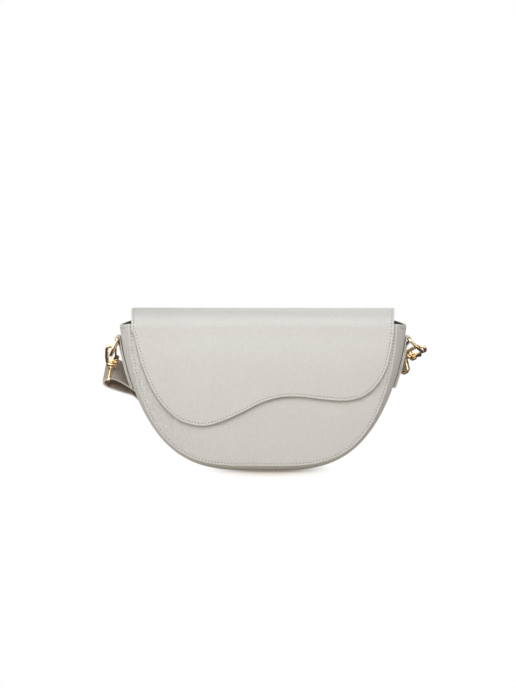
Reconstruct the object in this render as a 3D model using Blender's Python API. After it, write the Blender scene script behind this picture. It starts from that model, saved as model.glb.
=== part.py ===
"""Half-moon shoulder bag: a leather body between two panels, a flap with a magnet, and a strap on two swivel clips.

Metres, +Z up. The bag stands on the underside of its gusset at z = 0, its front faces -Y, and x = 0, y = 0 is
the middle of the body. Everything is worked out from the named sizes below.
"""

import math

import bmesh
import bpy
import numpy as np
from mathutils import Matrix, Vector

# Clearances
CLEARANCE = 0.0003  # left between pieces that touch
FLAP_CLEARANCE = 0.0008  # between the hanging flap and the front panel
CUT_OVERRUN = 0.002  # how far every cutter runs past what it cuts

# Panels: a superellipse drop below a straight top edge
BODY_DEPTH = 0.066
PANEL_HALF_WIDTH = 0.1225
PANEL_TOP = 0.137
PANEL_BOTTOM = 0.0085
PANEL_DROP_POWER = 1.75
PANEL_SIDE_POWER = 3.7
PANEL_THICKNESS = 0.0018
STIFFENER_THICKNESS = 0.0008
LINING_THICKNESS = 0.0006

# Gusset: the panel's edge on both sides, bowed out at mid depth
GUSSET_OVERHANG = 0.01  # how far its bow stands out beyond the panels
GUSSET_HALF_WIDTH = PANEL_HALF_WIDTH + GUSSET_OVERHANG
GUSSET_BELOW_TOP = 0.0023
GUSSET_TOP = PANEL_TOP - GUSSET_BELOW_TOP
GUSSET_REST_DEPTH = 0.0008  # cut off the bow underneath, so that the bag has a flat spot to stand on
GUSSET_DROP_POWER = 1.5
GUSSET_SIDE_POWER = 3.4
GUSSET_BOW_POWER = 2.5
GUSSET_THICKNESS = 0.0018

# Slip pocket on the back lining
POCKET_WIDTH = 0.12
POCKET_HEIGHT = 0.07
POCKET_THICKNESS = 0.0012
POCKET_BELOW_RIM = 0.03

# Flap
FLAP_INSIDE_PANEL = 0.0025
FLAP_HALF_WIDTH = PANEL_HALF_WIDTH - FLAP_INSIDE_PANEL
FLAP_THICKNESS = 0.0028
FLAP_LINING_THICKNESS = 0.001
FLAP_FOLD_BELOW_TOP = 0.0055
FLAP_FOLD_HEIGHT = PANEL_TOP - FLAP_FOLD_BELOW_TOP  # where the flap bends behind and in front
FLAP_CREST_ABOVE_TOP = 0.0128
FLAP_CREST = PANEL_TOP + FLAP_CREST_ABOVE_TOP
FLAP_DROP = 0.087  # from the bend to the lowest point of its wavy edge
ANCHOR_HEIGHT = 0.0255
ANCHOR_CORNER = 0.015

# The flap's lower edge, left to right, as shares of its half width and of its drop
FLAP_EDGE_SHARES = (
    (-1.0, 0.0),
    (-0.979, 0.052),
    (-0.945, 0.237),
    (-0.9025, 0.425),
    (-0.843, 0.613),
    (-0.7675, 0.775),
    (-0.6825, 0.891),
    (-0.5975, 0.963),
    (-0.452, 1.0),
    (-0.317, 0.956),
    (-0.1625, 0.861),
    (-0.0075, 0.753),
    (0.1475, 0.694),
    (0.302, 0.692),
    (0.4575, 0.717),
    (0.603, 0.733),
    (0.705, 0.716),
    (0.79, 0.669),
    (0.874, 0.564),
    (0.9425, 0.401),
    (0.976, 0.214),
    (1.0, 0.0),
)

# Magnetic closure
MAGNET_RADIUS = 0.0072
BODY_MAGNET_THICKNESS = 0.0016
FLAP_MAGNET_THICKNESS = 0.0008
MAGNET_BELOW_FOLD = 0.0435

# Tabs that hold the D-rings
TAB_WIDTH = 0.018
TAB_THICKNESS = 0.0012
TAB_LAYER_GAP = 0.0003
TAB_LEAVES_BELOW_BAR = 0.010

# D-rings
RING_WIRE_RADIUS = 0.0014
RING_HALF_WIDTH = 0.0115
RING_CORNER_RADIUS = 0.002
RING_LEG = 0.006
RING_BAR_BELOW_RIM = 0.0131
RING_BAR_HEIGHT = GUSSET_TOP - RING_BAR_BELOW_RIM
TAB_TAIL_BELOW_BAR = 0.045
TAB_TAIL_HEIGHT = RING_BAR_HEIGHT - TAB_TAIL_BELOW_BAR

# Clip hook, in the clip's frame: origin on the swivel, Z towards the bend, gate on +X
BARREL_RADIUS = 0.004
BARREL_BOTTOM = 0.0015
BARREL_TOP = 0.0045
BEND_RADIUS = 0.004
BEND_HEIGHT = 0.022
ARM_RADIUS = 0.0016
ARM_ROOT_OFFSET = 0.0041
ARM_ROOT_HEIGHT = 0.0025
ARM_SHOULDER_HEIGHT = 0.0095
PIVOT_OFFSET = 0.0049
PIVOT_HEIGHT = 0.006
EAR_RADIUS = 0.0022
EAR_HALF_DEPTH = 0.0026
EAR_BLOCK_START = 0.0015
SLOT_START = 0.0024
SLOT_FLOOR = 0.0029
PIN_RADIUS = 0.00075
NOSE_DROP = 0.0016

# Gate and its leaf spring
GATE_THICKNESS = 0.0018
GATE_HUB_RADIUS = 0.0017
GATE_TIP_HALF_WIDTH = 0.0009
GATE_NUB = 0.0011
GATE_TIP_GAP = 0.0004
LEAF_THICKNESS = 0.0004
LEAF_WIDTH = 0.0016

# Swivel eye: a rivet through the barrel that carries a rectangular loop
STEM_RADIUS = 0.0014
HEAD_RADIUS = 0.0021
HEAD_THICKNESS = 0.0012
COLLAR_RADIUS = 0.003
COLLAR_THICKNESS = 0.0014
EYE_WIRE_RADIUS = 0.0014
EYE_HALF_WIDTH = 0.0148
EYE_CORNER_RADIUS = 0.0022
EYE_TOP = 0.0042
EYE_BAR = 0.0125

# Strap
STRAP_WIDTH = 0.025
STRAP_THICKNESS = 0.0024
LOOP_LAYER = 0.0022
LOOP_TAIL = 0.025
LOOP_BULGE = 0.0079
STRAP_STAND_OFF = 0.019
STRAP_PITCH = 0.01
STRAP_TURNS = 4
STRAP_RUN_HALF = 0.045
STRAP_LEAVE_HANDLE = 0.03
STRAP_LAND_HANDLE = 0.07
STRAP_LIFT_HANDLE = 0.075
STRAP_ARRIVE_HANDLE = 0.035
STRAP_TWIST_LENGTH = 0.03
STRAP_STEP = 0.009

# How the rings, clips and strap ends hang on each side
SIDES = {
    "left": {
        "sign": -1,
        "ring_tilt": 24.0,
        "touch_offset": 0.005,
        "touch_side": 0.0006,
        "reach": 0.0155,
        "clip_turn": 6.0,
        "clip_lean": 42.0,
        "clip_roll": 0.0,
        "eye_turn": 0.0,
        "loop_turn": 58.0,
        "loop_side": 1,
    },
    "right": {
        "sign": 1,
        "ring_tilt": 47.0,
        "touch_offset": 0.0061,
        "touch_side": 0.00045,
        "reach": 0.0195,
        "clip_turn": 57.0,
        "clip_lean": 51.5,
        "clip_roll": 25.0,
        "eye_turn": 38.0,
        "loop_turn": -16.0,
        "loop_side": -1,
    },
}

# Facets
OUTLINE_STEPS = 48
BOW_STEPS = 10
ROUND_STEPS = 20
WIRE_SIDES = 8
EDGE_STEPS_EACH = 2
CREST_STEPS = 6

BACK = BODY_DEPTH / 2
FLAP_LEATHER_THICKNESS = FLAP_THICKNESS - FLAP_LINING_THICKNESS - CLEARANCE


def clear_scene():
    for obj in list(bpy.data.objects):
        bpy.data.objects.remove(obj, do_unlink=True)


def make_finish(name, colour, roughness, metallic=0.0):
    finish = bpy.data.materials.new(name)
    finish.use_nodes = True
    shader = finish.node_tree.nodes["Principled BSDF"]
    shader.inputs["Base Color"].default_value = (*colour, 1.0)
    shader.inputs["Roughness"].default_value = roughness
    shader.inputs["Metallic"].default_value = metallic
    finish.diffuse_color = (*colour, 1.0)
    return finish


def make_frame(name, matrix, parent=None):
    """An empty whose axes the pieces under it are modelled in."""
    frame = bpy.data.objects.new(name, None)
    bpy.context.scene.collection.objects.link(frame)
    frame.parent = parent
    frame.matrix_basis = matrix
    return frame


def make_solid(name, points, faces, finish, frame=None):
    """One closed mesh, its points in the frame's axes and its faces turned outwards."""
    mesh = bpy.data.meshes.new(name)
    mesh.from_pydata([tuple(map(float, point)) for point in points], [], faces)
    working = bmesh.new()
    working.from_mesh(mesh)
    bmesh.ops.recalc_face_normals(working, faces=working.faces)
    working.to_mesh(mesh)
    working.free()
    mesh.shade_smooth()
    mesh.set_sharp_from_angle(angle=math.radians(35))
    mesh.materials.append(finish)
    obj = bpy.data.objects.new(name, mesh)
    bpy.context.scene.collection.objects.link(obj)
    obj.parent = frame
    return obj


def boolean(obj, other, operation):
    """Joins a hidden helper to the object, or cuts it away."""
    other.hide_render = True
    other.display_type = "WIRE"
    modifier = obj.modifiers.new(other.name, "BOOLEAN")
    modifier.operation = operation
    modifier.object = other


def superellipse(half_width, top, bottom, drop_power, side_power, steps):
    """Points (x, z) from the left rim down round to the right rim, evenly spaced along the curve."""
    angle = np.linspace(0, math.pi, steps * 16 + 1)
    drop = np.abs(np.sin(angle)) ** (2 / drop_power)
    across = np.sign(np.cos(angle)) * np.abs(np.cos(angle)) ** (2 / side_power)
    curve = np.stack([-half_width * across, top - (top - bottom) * drop], axis=1)
    return spaced(curve, steps)


def spaced(curve, steps):
    """The same curve with its points at equal distances."""
    length = np.concatenate([[0], np.cumsum(np.linalg.norm(np.diff(curve, axis=0), axis=1))])
    at = np.linspace(0, length[-1], steps + 1)
    return np.stack([np.interp(at, length, curve[:, k]) for k in range(curve.shape[1])], axis=1)


def inset(outline, distance):
    """An outline that runs left to right under a straight top, moved inwards by its normals."""
    tangent = np.gradient(outline, axis=0)
    tangent /= np.linalg.norm(tangent, axis=1)[:, None]
    inward = np.stack([-tangent[:, 1], tangent[:, 0]], axis=1)
    moved = outline + inward * distance
    moved[0, 1] = moved[-1, 1] = outline[0, 1]
    return moved


def panel_outline():
    return superellipse(
        PANEL_HALF_WIDTH, PANEL_TOP, PANEL_BOTTOM, PANEL_DROP_POWER, PANEL_SIDE_POWER, OUTLINE_STEPS
    )


def gusset_outline():
    return superellipse(
        GUSSET_HALF_WIDTH,
        GUSSET_TOP,
        -GUSSET_REST_DEPTH,
        GUSSET_DROP_POWER,
        GUSSET_SIDE_POWER,
        OUTLINE_STEPS,
    )


def gusset_side_at(height):
    """Half the gusset's width at this height, at mid depth."""
    drop = (GUSSET_TOP - height) / (GUSSET_TOP + GUSSET_REST_DEPTH)
    return GUSSET_HALF_WIDTH * (1 - drop**GUSSET_DROP_POWER) ** (1 / GUSSET_SIDE_POWER)


def gusset_grid(end_depth, stations_depth, below_surface):
    """The gusset's surface, or one the given distance inside it, along the outline and across the depth."""
    edge = panel_outline()
    bowed = gusset_outline()
    depths = stations_depth * np.sin(np.linspace(-math.pi / 2, math.pi / 2, BOW_STEPS + 1))
    bow = 1 - np.abs(depths / end_depth) ** GUSSET_BOW_POWER
    tangent = np.gradient(bowed, axis=0)
    tangent /= np.linalg.norm(tangent, axis=1)[:, None]
    inward = np.stack([-tangent[:, 1], tangent[:, 0]], axis=1)
    flat = edge[:, None] + (bowed - edge)[:, None] * bow[None, :, None]
    flat = flat + inward[:, None] * below_surface
    grid = np.empty((*flat.shape[:2], 3))
    grid[..., 0] = flat[..., 0]
    grid[..., 1] = depths[None, :]
    grid[..., 2] = flat[..., 1]
    return grid


def grid_faces(rows, columns, start, loop_columns=False):
    """Quads between neighbouring points of a grid."""
    last = columns if loop_columns else columns - 1
    return [
        (
            start + i * columns + j,
            start + (i + 1) * columns + j,
            start + (i + 1) * columns + (j + 1) % columns,
            start + i * columns + (j + 1) % columns,
        )
        for i in range(rows - 1)
        for j in range(last)
    ]


def shell(outer, inner):
    """Points and faces of the wall between two grids of the same shape."""
    rows, columns = outer.shape[:2]
    size = rows * columns
    points = np.concatenate([outer.reshape(-1, 3), inner.reshape(-1, 3)])
    faces = grid_faces(rows, columns, 0)
    faces += [face[::-1] for face in grid_faces(rows, columns, size)]
    rim = [j for j in range(columns)]
    rim += [i * columns + columns - 1 for i in range(1, rows)]
    rim += [(rows - 1) * columns + j for j in range(columns - 2, -1, -1)]
    rim += [i * columns for i in range(rows - 2, 0, -1)]
    for k, here in enumerate(rim):
        after = rim[(k + 1) % len(rim)]
        faces.append((here, after, after + size, here + size))
    return points, faces


def plate(outline, front, back):
    """Points and faces of an outline in (x, z), thick from the front depth to the back depth."""
    count = len(outline)
    points = [(x, depth, z) for depth in (front, back) for x, z in outline]
    faces = [tuple(range(count)), tuple(range(2 * count - 1, count - 1, -1))]
    faces += [(k, (k + 1) % count, count + (k + 1) % count, count + k) for k in range(count)]
    return points, faces


def strip(centres, across, half_widths, thickness):
    """A flat band along a path: its width lies along across, its thickness square to that and to the path."""
    centres = np.asarray(centres, float)
    tangent = np.gradient(centres, axis=0)
    tangent /= np.linalg.norm(tangent, axis=1)[:, None]
    across = np.broadcast_to(np.asarray(across, float), centres.shape)
    across = across - (across * tangent).sum(axis=1)[:, None] * tangent
    across = across / np.linalg.norm(across, axis=1)[:, None]
    normal = np.cross(tangent, across)
    half_widths = np.broadcast_to(np.asarray(half_widths, float), len(centres))[:, None]
    corners = [
        centres + across * half_widths * side + normal * thickness / 2 * face
        for side, face in ((-1, -1), (1, -1), (1, 1), (-1, 1))
    ]
    points = np.stack(corners, axis=1).reshape(-1, 3)
    faces = grid_faces(len(centres), 4, 0, loop_columns=True)
    faces += [(3, 2, 1, 0), tuple(len(points) - 4 + k for k in range(4))]
    return points, faces


def wire(path, radius, plane_normal, closed, sides=WIRE_SIDES):
    """A round bar along a path that lies in one plane."""
    path = np.asarray(path, float)
    if closed:
        tangent = np.roll(path, -1, axis=0) - np.roll(path, 1, axis=0)
    else:
        tangent = np.gradient(path, axis=0)
    tangent /= np.linalg.norm(tangent, axis=1)[:, None]
    side = np.cross(np.asarray(plane_normal, float), tangent)
    angle = 2 * math.pi * np.arange(sides) / sides
    ring = np.cos(angle)[None, :, None] * side[:, None] + np.sin(angle)[None, :, None] * plane_normal
    points = (path[:, None] + radius * ring).reshape(-1, 3)
    rows = len(path)
    faces = grid_faces(rows, sides, 0, loop_columns=True)
    if closed:
        last = (rows - 1) * sides
        faces += [(last + j, j, (j + 1) % sides, last + (j + 1) % sides) for j in range(sides)]
    else:
        faces += [tuple(range(sides)), tuple(range(rows * sides - 1, (rows - 1) * sides - 1, -1))]
    return points, faces


def turned(profile, steps=ROUND_STEPS):
    """A profile of (radius, height) that starts and ends on the Z axis, turned round it."""
    angle = 2 * math.pi * np.arange(steps) / steps
    points = [(0, 0, profile[0][1]), (0, 0, profile[-1][1])]
    rings = profile[1:-1]
    for radius, height in rings:
        points += [(radius * math.cos(a), radius * math.sin(a), height) for a in angle]
    faces = grid_faces(len(rings), steps, 2, loop_columns=True)
    last = 2 + (len(rings) - 1) * steps
    faces += [(0, 2 + (j + 1) % steps, 2 + j) for j in range(steps)]
    faces += [(1, last + j, last + (j + 1) % steps) for j in range(steps)]
    return points, faces


def rod(radius, start, end, steps=ROUND_STEPS):
    """A cylinder between two points."""
    start = Vector(start)
    span = Vector(end) - start
    turn = Vector((0, 0, 1)).rotation_difference(span).to_matrix().to_4x4()
    points, faces = turned([(0, 0), (radius, 0), (radius, span.length), (0, span.length)], steps)
    place = Matrix.Translation(start) @ turn
    return [place @ Vector(point) for point in points], faces


def block(low, high):
    """A box between two corners."""
    points = [(x, y, z) for z in (low[2], high[2]) for y in (low[1], high[1]) for x in (low[0], high[0])]
    faces = [(0, 2, 3, 1), (4, 5, 7, 6), (0, 1, 5, 4), (1, 3, 7, 5), (3, 2, 6, 7), (2, 0, 4, 6)]
    return points, faces


def arc(centre, radius, start, end, steps):
    """Points (u, v) on a circle, its angles in degrees."""
    angle = np.radians(np.linspace(start, end, steps + 1))
    return np.stack([centre[0] + radius * np.cos(angle), centre[1] + radius * np.sin(angle)], axis=1)


def catmull_rom(points, steps_each):
    """A smooth curve through all the points."""
    points = np.asarray(points, float)
    padded = np.concatenate([2 * points[:1] - points[1:2], points, 2 * points[-1:] - points[-2:-1]])
    curve = []
    for k in range(len(points) - 1):
        a, b, c, d = padded[k : k + 4]
        for t in np.arange(steps_each) / steps_each:
            bend = (2 * a - 5 * b + 4 * c - d) * t**2 + (3 * b - a - 3 * c + d) * t**3
            curve.append((2 * b + (c - a) * t + bend) / 2)
    curve.append(points[-1])
    return np.array(curve)


def bezier(start, leave, arrive, end, steps):
    """A cubic curve between two points, drawn towards two handles."""
    t = np.linspace(0, 1, steps + 1)[:, None]
    start, leave, arrive, end = (np.asarray(p, float) for p in (start, leave, arrive, end))
    return (
        start * (1 - t) ** 3 + 3 * leave * (1 - t) ** 2 * t + 3 * arrive * (1 - t) * t**2 + end * t**3
    )


def build_body(finishes):
    """Panels, stiffening boards, linings and gusset, from the outside in."""
    edge = panel_outline()
    inner_edge = inset(edge, GUSSET_THICKNESS + CLEARANCE)
    layers = (
        ("panel", edge, PANEL_THICKNESS, "leather"),
        ("stiffener", inner_edge, STIFFENER_THICKNESS, "board"),
        ("lining", inner_edge, LINING_THICKNESS, "suede"),
    )
    made = {}
    for side, facing in (("front", -1), ("back", 1)):
        outside = BACK
        for name, outline, thickness, finish in layers:
            low, high = sorted((facing * outside, facing * (outside - thickness)))
            made[side, name] = make_solid(f"{side}_{name}", *plate(outline, low, high), finishes[finish])
            outside -= thickness + CLEARANCE
    gusset_end = BACK - PANEL_THICKNESS - CLEARANCE
    outer = gusset_grid(gusset_end, gusset_end, 0)
    inner = gusset_grid(gusset_end, gusset_end, GUSSET_THICKNESS)
    outer[..., 2] = np.maximum(outer[..., 2], 0)
    make_solid("gusset", *shell(outer, inner), finishes["leather"])
    lining_end = outside
    lining_depth = GUSSET_THICKNESS + CLEARANCE
    outer = gusset_grid(gusset_end, lining_end, lining_depth)
    inner = gusset_grid(gusset_end, lining_end, lining_depth + LINING_THICKNESS)
    make_solid("gusset_lining", *shell(outer, inner), finishes["suede"])
    pocket_top = PANEL_TOP - POCKET_BELOW_RIM
    pocket = block(
        (-POCKET_WIDTH / 2, lining_end - POCKET_THICKNESS, pocket_top - POCKET_HEIGHT),
        (POCKET_WIDTH / 2, lining_end, pocket_top),
    )
    make_solid("inner_pocket", *pocket, finishes["suede"])
    return made["front", "panel"]


def build_magnets(front_panel, flap_lining, fold_frame, finishes):
    """A disc let into the front panel and one let into the flap's lining, face to face."""
    height = FLAP_FOLD_HEIGHT - MAGNET_BELOW_FOLD
    hole = MAGNET_RADIUS + CLEARANCE
    panel_face = -BACK
    disc = rod(MAGNET_RADIUS, (0, panel_face, height), (0, panel_face + BODY_MAGNET_THICKNESS, height))
    make_solid("body_magnet", *disc, finishes["gold"])
    panel_cut = rod(
        hole,
        (0, panel_face - CUT_OVERRUN, height),
        (0, panel_face + PANEL_THICKNESS + CUT_OVERRUN, height),
    )
    boolean(front_panel, make_solid("cut_body_magnet", *panel_cut, finishes["gold"]), "DIFFERENCE")
    lining_face = -BACK - FLAP_CLEARANCE
    origin = fold_frame.matrix_world.translation
    near = Vector((0, lining_face, height)) - origin
    away = Vector((0, -FLAP_MAGNET_THICKNESS, 0))
    disc = rod(MAGNET_RADIUS, near, near + away)
    make_solid("flap_magnet", *disc, finishes["gold"], fold_frame)
    overrun = Vector((0, CUT_OVERRUN, 0))
    lining_cut = rod(hole, near + overrun, near - overrun)
    cutter = make_solid("cut_flap_magnet", *lining_cut, finishes["gold"], fold_frame)
    boolean(flap_lining, cutter, "DIFFERENCE")


def build_flap(finishes):
    """The band sewn to the back, the crown over the top, and the leather and lining that hang in front."""
    back_face = BACK + CLEARANCE
    back_outer = back_face + FLAP_THICKNESS
    front_outer = -BACK - FLAP_CLEARANCE - FLAP_THICKNESS
    split = FLAP_FOLD_HEIGHT - CLEARANCE
    width = FLAP_HALF_WIDTH
    foot = split - ANCHOR_HEIGHT
    corners = np.concatenate(
        [
            [(-width, split)],
            arc((-width + ANCHOR_CORNER, foot + ANCHOR_CORNER), ANCHOR_CORNER, 180, 270, CREST_STEPS),
            arc((width - ANCHOR_CORNER, foot + ANCHOR_CORNER), ANCHOR_CORNER, 270, 360, CREST_STEPS),
            [(width, split)],
        ]
    )
    make_solid("flap_anchor", *plate(corners, back_face, back_outer), finishes["leather"])
    lift = Vector((0, back_outer, FLAP_FOLD_HEIGHT))
    lift_frame = make_frame("flap_lift_axis", Matrix.Translation(lift))
    middle = FLAP_THICKNESS / 2
    crest = FLAP_CREST - middle
    radius = crest - PANEL_TOP - CLEARANCE
    rise = crest - radius
    back_middle = back_outer - middle
    front_middle = front_outer + middle
    path = np.concatenate(
        [
            [(back_middle, FLAP_FOLD_HEIGHT)],
            arc((back_middle - radius, rise), radius, 0, 90, CREST_STEPS),
            arc((front_middle + radius, rise), radius, 90, 180, CREST_STEPS),
            [(front_middle, FLAP_FOLD_HEIGHT)],
        ]
    )
    centres = np.stack([np.zeros(len(path)), path[:, 0], path[:, 1]], axis=1) - np.array(lift)
    crown = strip(centres, (1, 0, 0), width, FLAP_THICKNESS)
    make_solid("flap_crown", *crown, finishes["leather"], lift_frame)
    fold = Vector((0, front_outer, FLAP_FOLD_HEIGHT))
    fold_frame = make_frame("flap_fold_axis", Matrix.Translation(fold - lift), lift_frame)
    bpy.context.view_layer.update()
    shares = catmull_rom(FLAP_EDGE_SHARES, EDGE_STEPS_EACH)
    edge = shares * (width, -FLAP_DROP) - (0, CLEARANCE)
    leather_back = FLAP_LEATHER_THICKNESS
    leather = plate(edge, 0, leather_back)
    make_solid("flap_front", *leather, finishes["leather"], fold_frame)
    lining = plate(edge, leather_back + CLEARANCE, FLAP_THICKNESS)
    flap_lining = make_solid("flap_lining", *lining, finishes["suede"], fold_frame)
    return flap_lining, fold_frame


def ring_bar_centre(side):
    """The D-ring's bar stands off the gusset by one layer of the tab."""
    off = gusset_side_at(RING_BAR_HEIGHT) + CLEARANCE + TAB_THICKNESS + CLEARANCE + RING_WIRE_RADIUS
    return Vector((side["sign"] * off, 0, RING_BAR_HEIGHT))


def build_tab(name, side, finishes):
    """A strip sewn to the gusset's end, up, round the ring's bar and down again on itself."""
    bar = ring_bar_centre(side)
    bend = RING_WIRE_RADIUS + CLEARANCE + TAB_THICKNESS / 2
    leave = RING_BAR_HEIGHT - TAB_LEAVES_BELOW_BAR
    heights = np.linspace(TAB_TAIL_HEIGHT, leave, 5)
    sides = np.array([gusset_side_at(height) for height in heights])
    inner = sides + CLEARANCE + TAB_THICKNESS / 2
    outer = inner + TAB_LAYER_GAP + TAB_THICKNESS
    bar_off = abs(bar.x)
    down = arc((bar_off, RING_BAR_HEIGHT), bend, -18, 180, 10)[::-1]
    path = np.concatenate(
        [
            np.stack([inner, heights], axis=1),
            down,
            np.stack([outer, heights], axis=1)[::-1],
        ]
    )
    centres = np.stack([side["sign"] * path[:, 0], np.zeros(len(path)), path[:, 1]], axis=1)
    make_solid(f"{name}_tab", *strip(centres, (0, 1, 0), TAB_WIDTH / 2, TAB_THICKNESS), finishes["leather"])


def ring_frame_matrix(side):
    """At the bar, its -Z pointing the way the ring hangs."""
    turn = Matrix.Rotation(math.radians(-side["sign"] * side["ring_tilt"]), 4, "Y")
    return Matrix.Translation(ring_bar_centre(side)) @ turn


def build_ring(name, side, finishes):
    half = RING_HALF_WIDTH
    corner = RING_CORNER_RADIUS
    outline = np.concatenate(
        [
            arc((half - corner, -corner), corner, 90, 0, 3),
            arc((0, -RING_LEG), half, 0, -180, 12),
            arc((corner - half, -corner), corner, 180, 90, 3),
        ]
    )
    path = np.stack([np.zeros(len(outline)), outline[:, 0], outline[:, 1]], axis=1)
    frame = make_frame(f"{name}_ring_axis", ring_frame_matrix(side))
    ring = wire(path, RING_WIRE_RADIUS, (1, 0, 0), closed=True)
    make_solid(f"{name}_d_ring", *ring, finishes["gold"], frame)


def touch_point(side):
    """The place on the ring's wire that the hook hangs on."""
    offset = side["touch_offset"]
    drop = RING_LEG + math.sqrt(RING_HALF_WIDTH**2 - offset**2)
    return ring_frame_matrix(side) @ Vector((0, offset, -drop))


def clip_frame_matrix(side):
    """Origin on the swivel; Z runs up the hook towards the ring."""
    turn = Matrix.Rotation(math.radians(side["clip_turn"]), 4, "Y")
    lean = Matrix.Rotation(math.radians(side["clip_lean"]), 4, "X")
    roll = Matrix.Rotation(math.radians(side["clip_roll"]), 4, "Z")
    rotation = turn @ lean @ roll
    origin = touch_point(side) - rotation.to_3x3() @ Vector((side["touch_side"], 0, side["reach"]))
    return Matrix.Translation(origin) @ rotation


def build_hook(name, frame, finishes):
    """Barrel, ears for the gate, and the arm that bends over to the nose."""
    gold = finishes["gold"]
    barrel = [(0, -BARREL_BOTTOM), (BARREL_RADIUS, -BARREL_BOTTOM), (BARREL_RADIUS, BARREL_TOP), (0, BARREL_TOP)]
    hook = make_solid(f"{name}_hook", *turned(barrel), gold, frame)
    ear_top = BARREL_TOP - CLEARANCE
    ear_end = PIVOT_OFFSET + EAR_RADIUS - CLEARANCE
    ears = block((EAR_BLOCK_START, -EAR_HALF_DEPTH, CLEARANCE), (ear_end, EAR_HALF_DEPTH, ear_top))
    boolean(hook, make_solid(f"{name}_ear_block", *ears, gold, frame), "UNION")
    lugs = rod(
        EAR_RADIUS,
        (PIVOT_OFFSET, -EAR_HALF_DEPTH + CLEARANCE, PIVOT_HEIGHT),
        (PIVOT_OFFSET, EAR_HALF_DEPTH - CLEARANCE, PIVOT_HEIGHT),
    )
    boolean(hook, make_solid(f"{name}_ear_lugs", *lugs, gold, frame), "UNION")
    arm = np.concatenate(
        [
            [(-ARM_ROOT_OFFSET, ARM_ROOT_HEIGHT), (-BEND_RADIUS, ARM_SHOULDER_HEIGHT)],
            arc((0, BEND_HEIGHT), BEND_RADIUS, 180, 0, 12),
            [(BEND_RADIUS, BEND_HEIGHT - NOSE_DROP)],
        ]
    )
    path = np.stack([arm[:, 0], np.zeros(len(arm)), arm[:, 1]], axis=1)
    arm_bar = wire(path, ARM_RADIUS, (0, 1, 0), closed=False)
    boolean(hook, make_solid(f"{name}_arm", *arm_bar, gold, frame), "UNION")
    slot_half = GATE_THICKNESS / 2 + CLEARANCE
    slot_top = PIVOT_HEIGHT + EAR_RADIUS + CUT_OVERRUN
    slot_end = PIVOT_OFFSET + EAR_RADIUS + CUT_OVERRUN
    slot = block((SLOT_START, -slot_half, SLOT_FLOOR), (slot_end, slot_half, slot_top))
    boolean(hook, make_solid(f"{name}_cut_slot", *slot, gold, frame), "DIFFERENCE")
    bore = rod(
        STEM_RADIUS + CLEARANCE,
        (0, 0, -BARREL_BOTTOM - CUT_OVERRUN),
        (0, 0, BARREL_TOP + CUT_OVERRUN),
    )
    boolean(hook, make_solid(f"{name}_cut_bore", *bore, gold, frame), "DIFFERENCE")
    reach = EAR_HALF_DEPTH + CUT_OVERRUN
    pin_hole = rod(
        PIN_RADIUS + CLEARANCE,
        (PIVOT_OFFSET, -reach, PIVOT_HEIGHT),
        (PIVOT_OFFSET, reach, PIVOT_HEIGHT),
    )
    boolean(hook, make_solid(f"{name}_cut_pin", *pin_hole, gold, frame), "DIFFERENCE")


def build_gate(name, frame, finishes):
    """The lever that closes the hook, its pin, and the leaf spring round its hub."""
    gold = finishes["gold"]
    pivot = make_frame(f"{name}_gate_axis", Matrix.Translation((PIVOT_OFFSET, 0, PIVOT_HEIGHT)), frame)
    tip = BEND_HEIGHT - NOSE_DROP - GATE_TIP_GAP - PIVOT_HEIGHT
    lean = BEND_RADIUS - PIVOT_OFFSET
    half = GATE_TIP_HALF_WIDTH
    hub = arc((0, 0), GATE_HUB_RADIUS, 150, 375, 12)
    outline = np.concatenate(
        [
            hub,
            [
                (GATE_HUB_RADIUS, tip * 0.3),
                (GATE_HUB_RADIUS + GATE_NUB, tip * 0.42),
                (GATE_HUB_RADIUS + GATE_NUB, tip * 0.5),
                (lean + half, tip * 0.62),
                (lean + half, tip),
                (lean - half, tip),
                (lean - half, tip * 0.3),
            ],
        ]
    )
    lever = plate(outline, -GATE_THICKNESS / 2, GATE_THICKNESS / 2)
    gate = make_solid(f"{name}_gate", *lever, gold, pivot)
    reach = GATE_THICKNESS / 2 + CUT_OVERRUN
    hole = rod(PIN_RADIUS + CLEARANCE, (0, -reach, 0), (0, reach, 0))
    boolean(gate, make_solid(f"{name}_cut_gate", *hole, gold, pivot), "DIFFERENCE")
    pin = rod(PIN_RADIUS, (0, -EAR_HALF_DEPTH, 0), (0, EAR_HALF_DEPTH, 0))
    make_solid(f"{name}_gate_pin", *pin, gold, pivot)
    bend = GATE_HUB_RADIUS + CLEARANCE + LEAF_THICKNESS / 2
    leaf = arc((0, 0), bend, 205, 335, 8)
    centres = np.stack([leaf[:, 0], np.zeros(len(leaf)), leaf[:, 1]], axis=1)
    spring = strip(centres, (0, 1, 0), LEAF_WIDTH / 2, LEAF_THICKNESS)
    make_solid(f"{name}_gate_spring", *spring, finishes["steel"], pivot)


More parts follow.
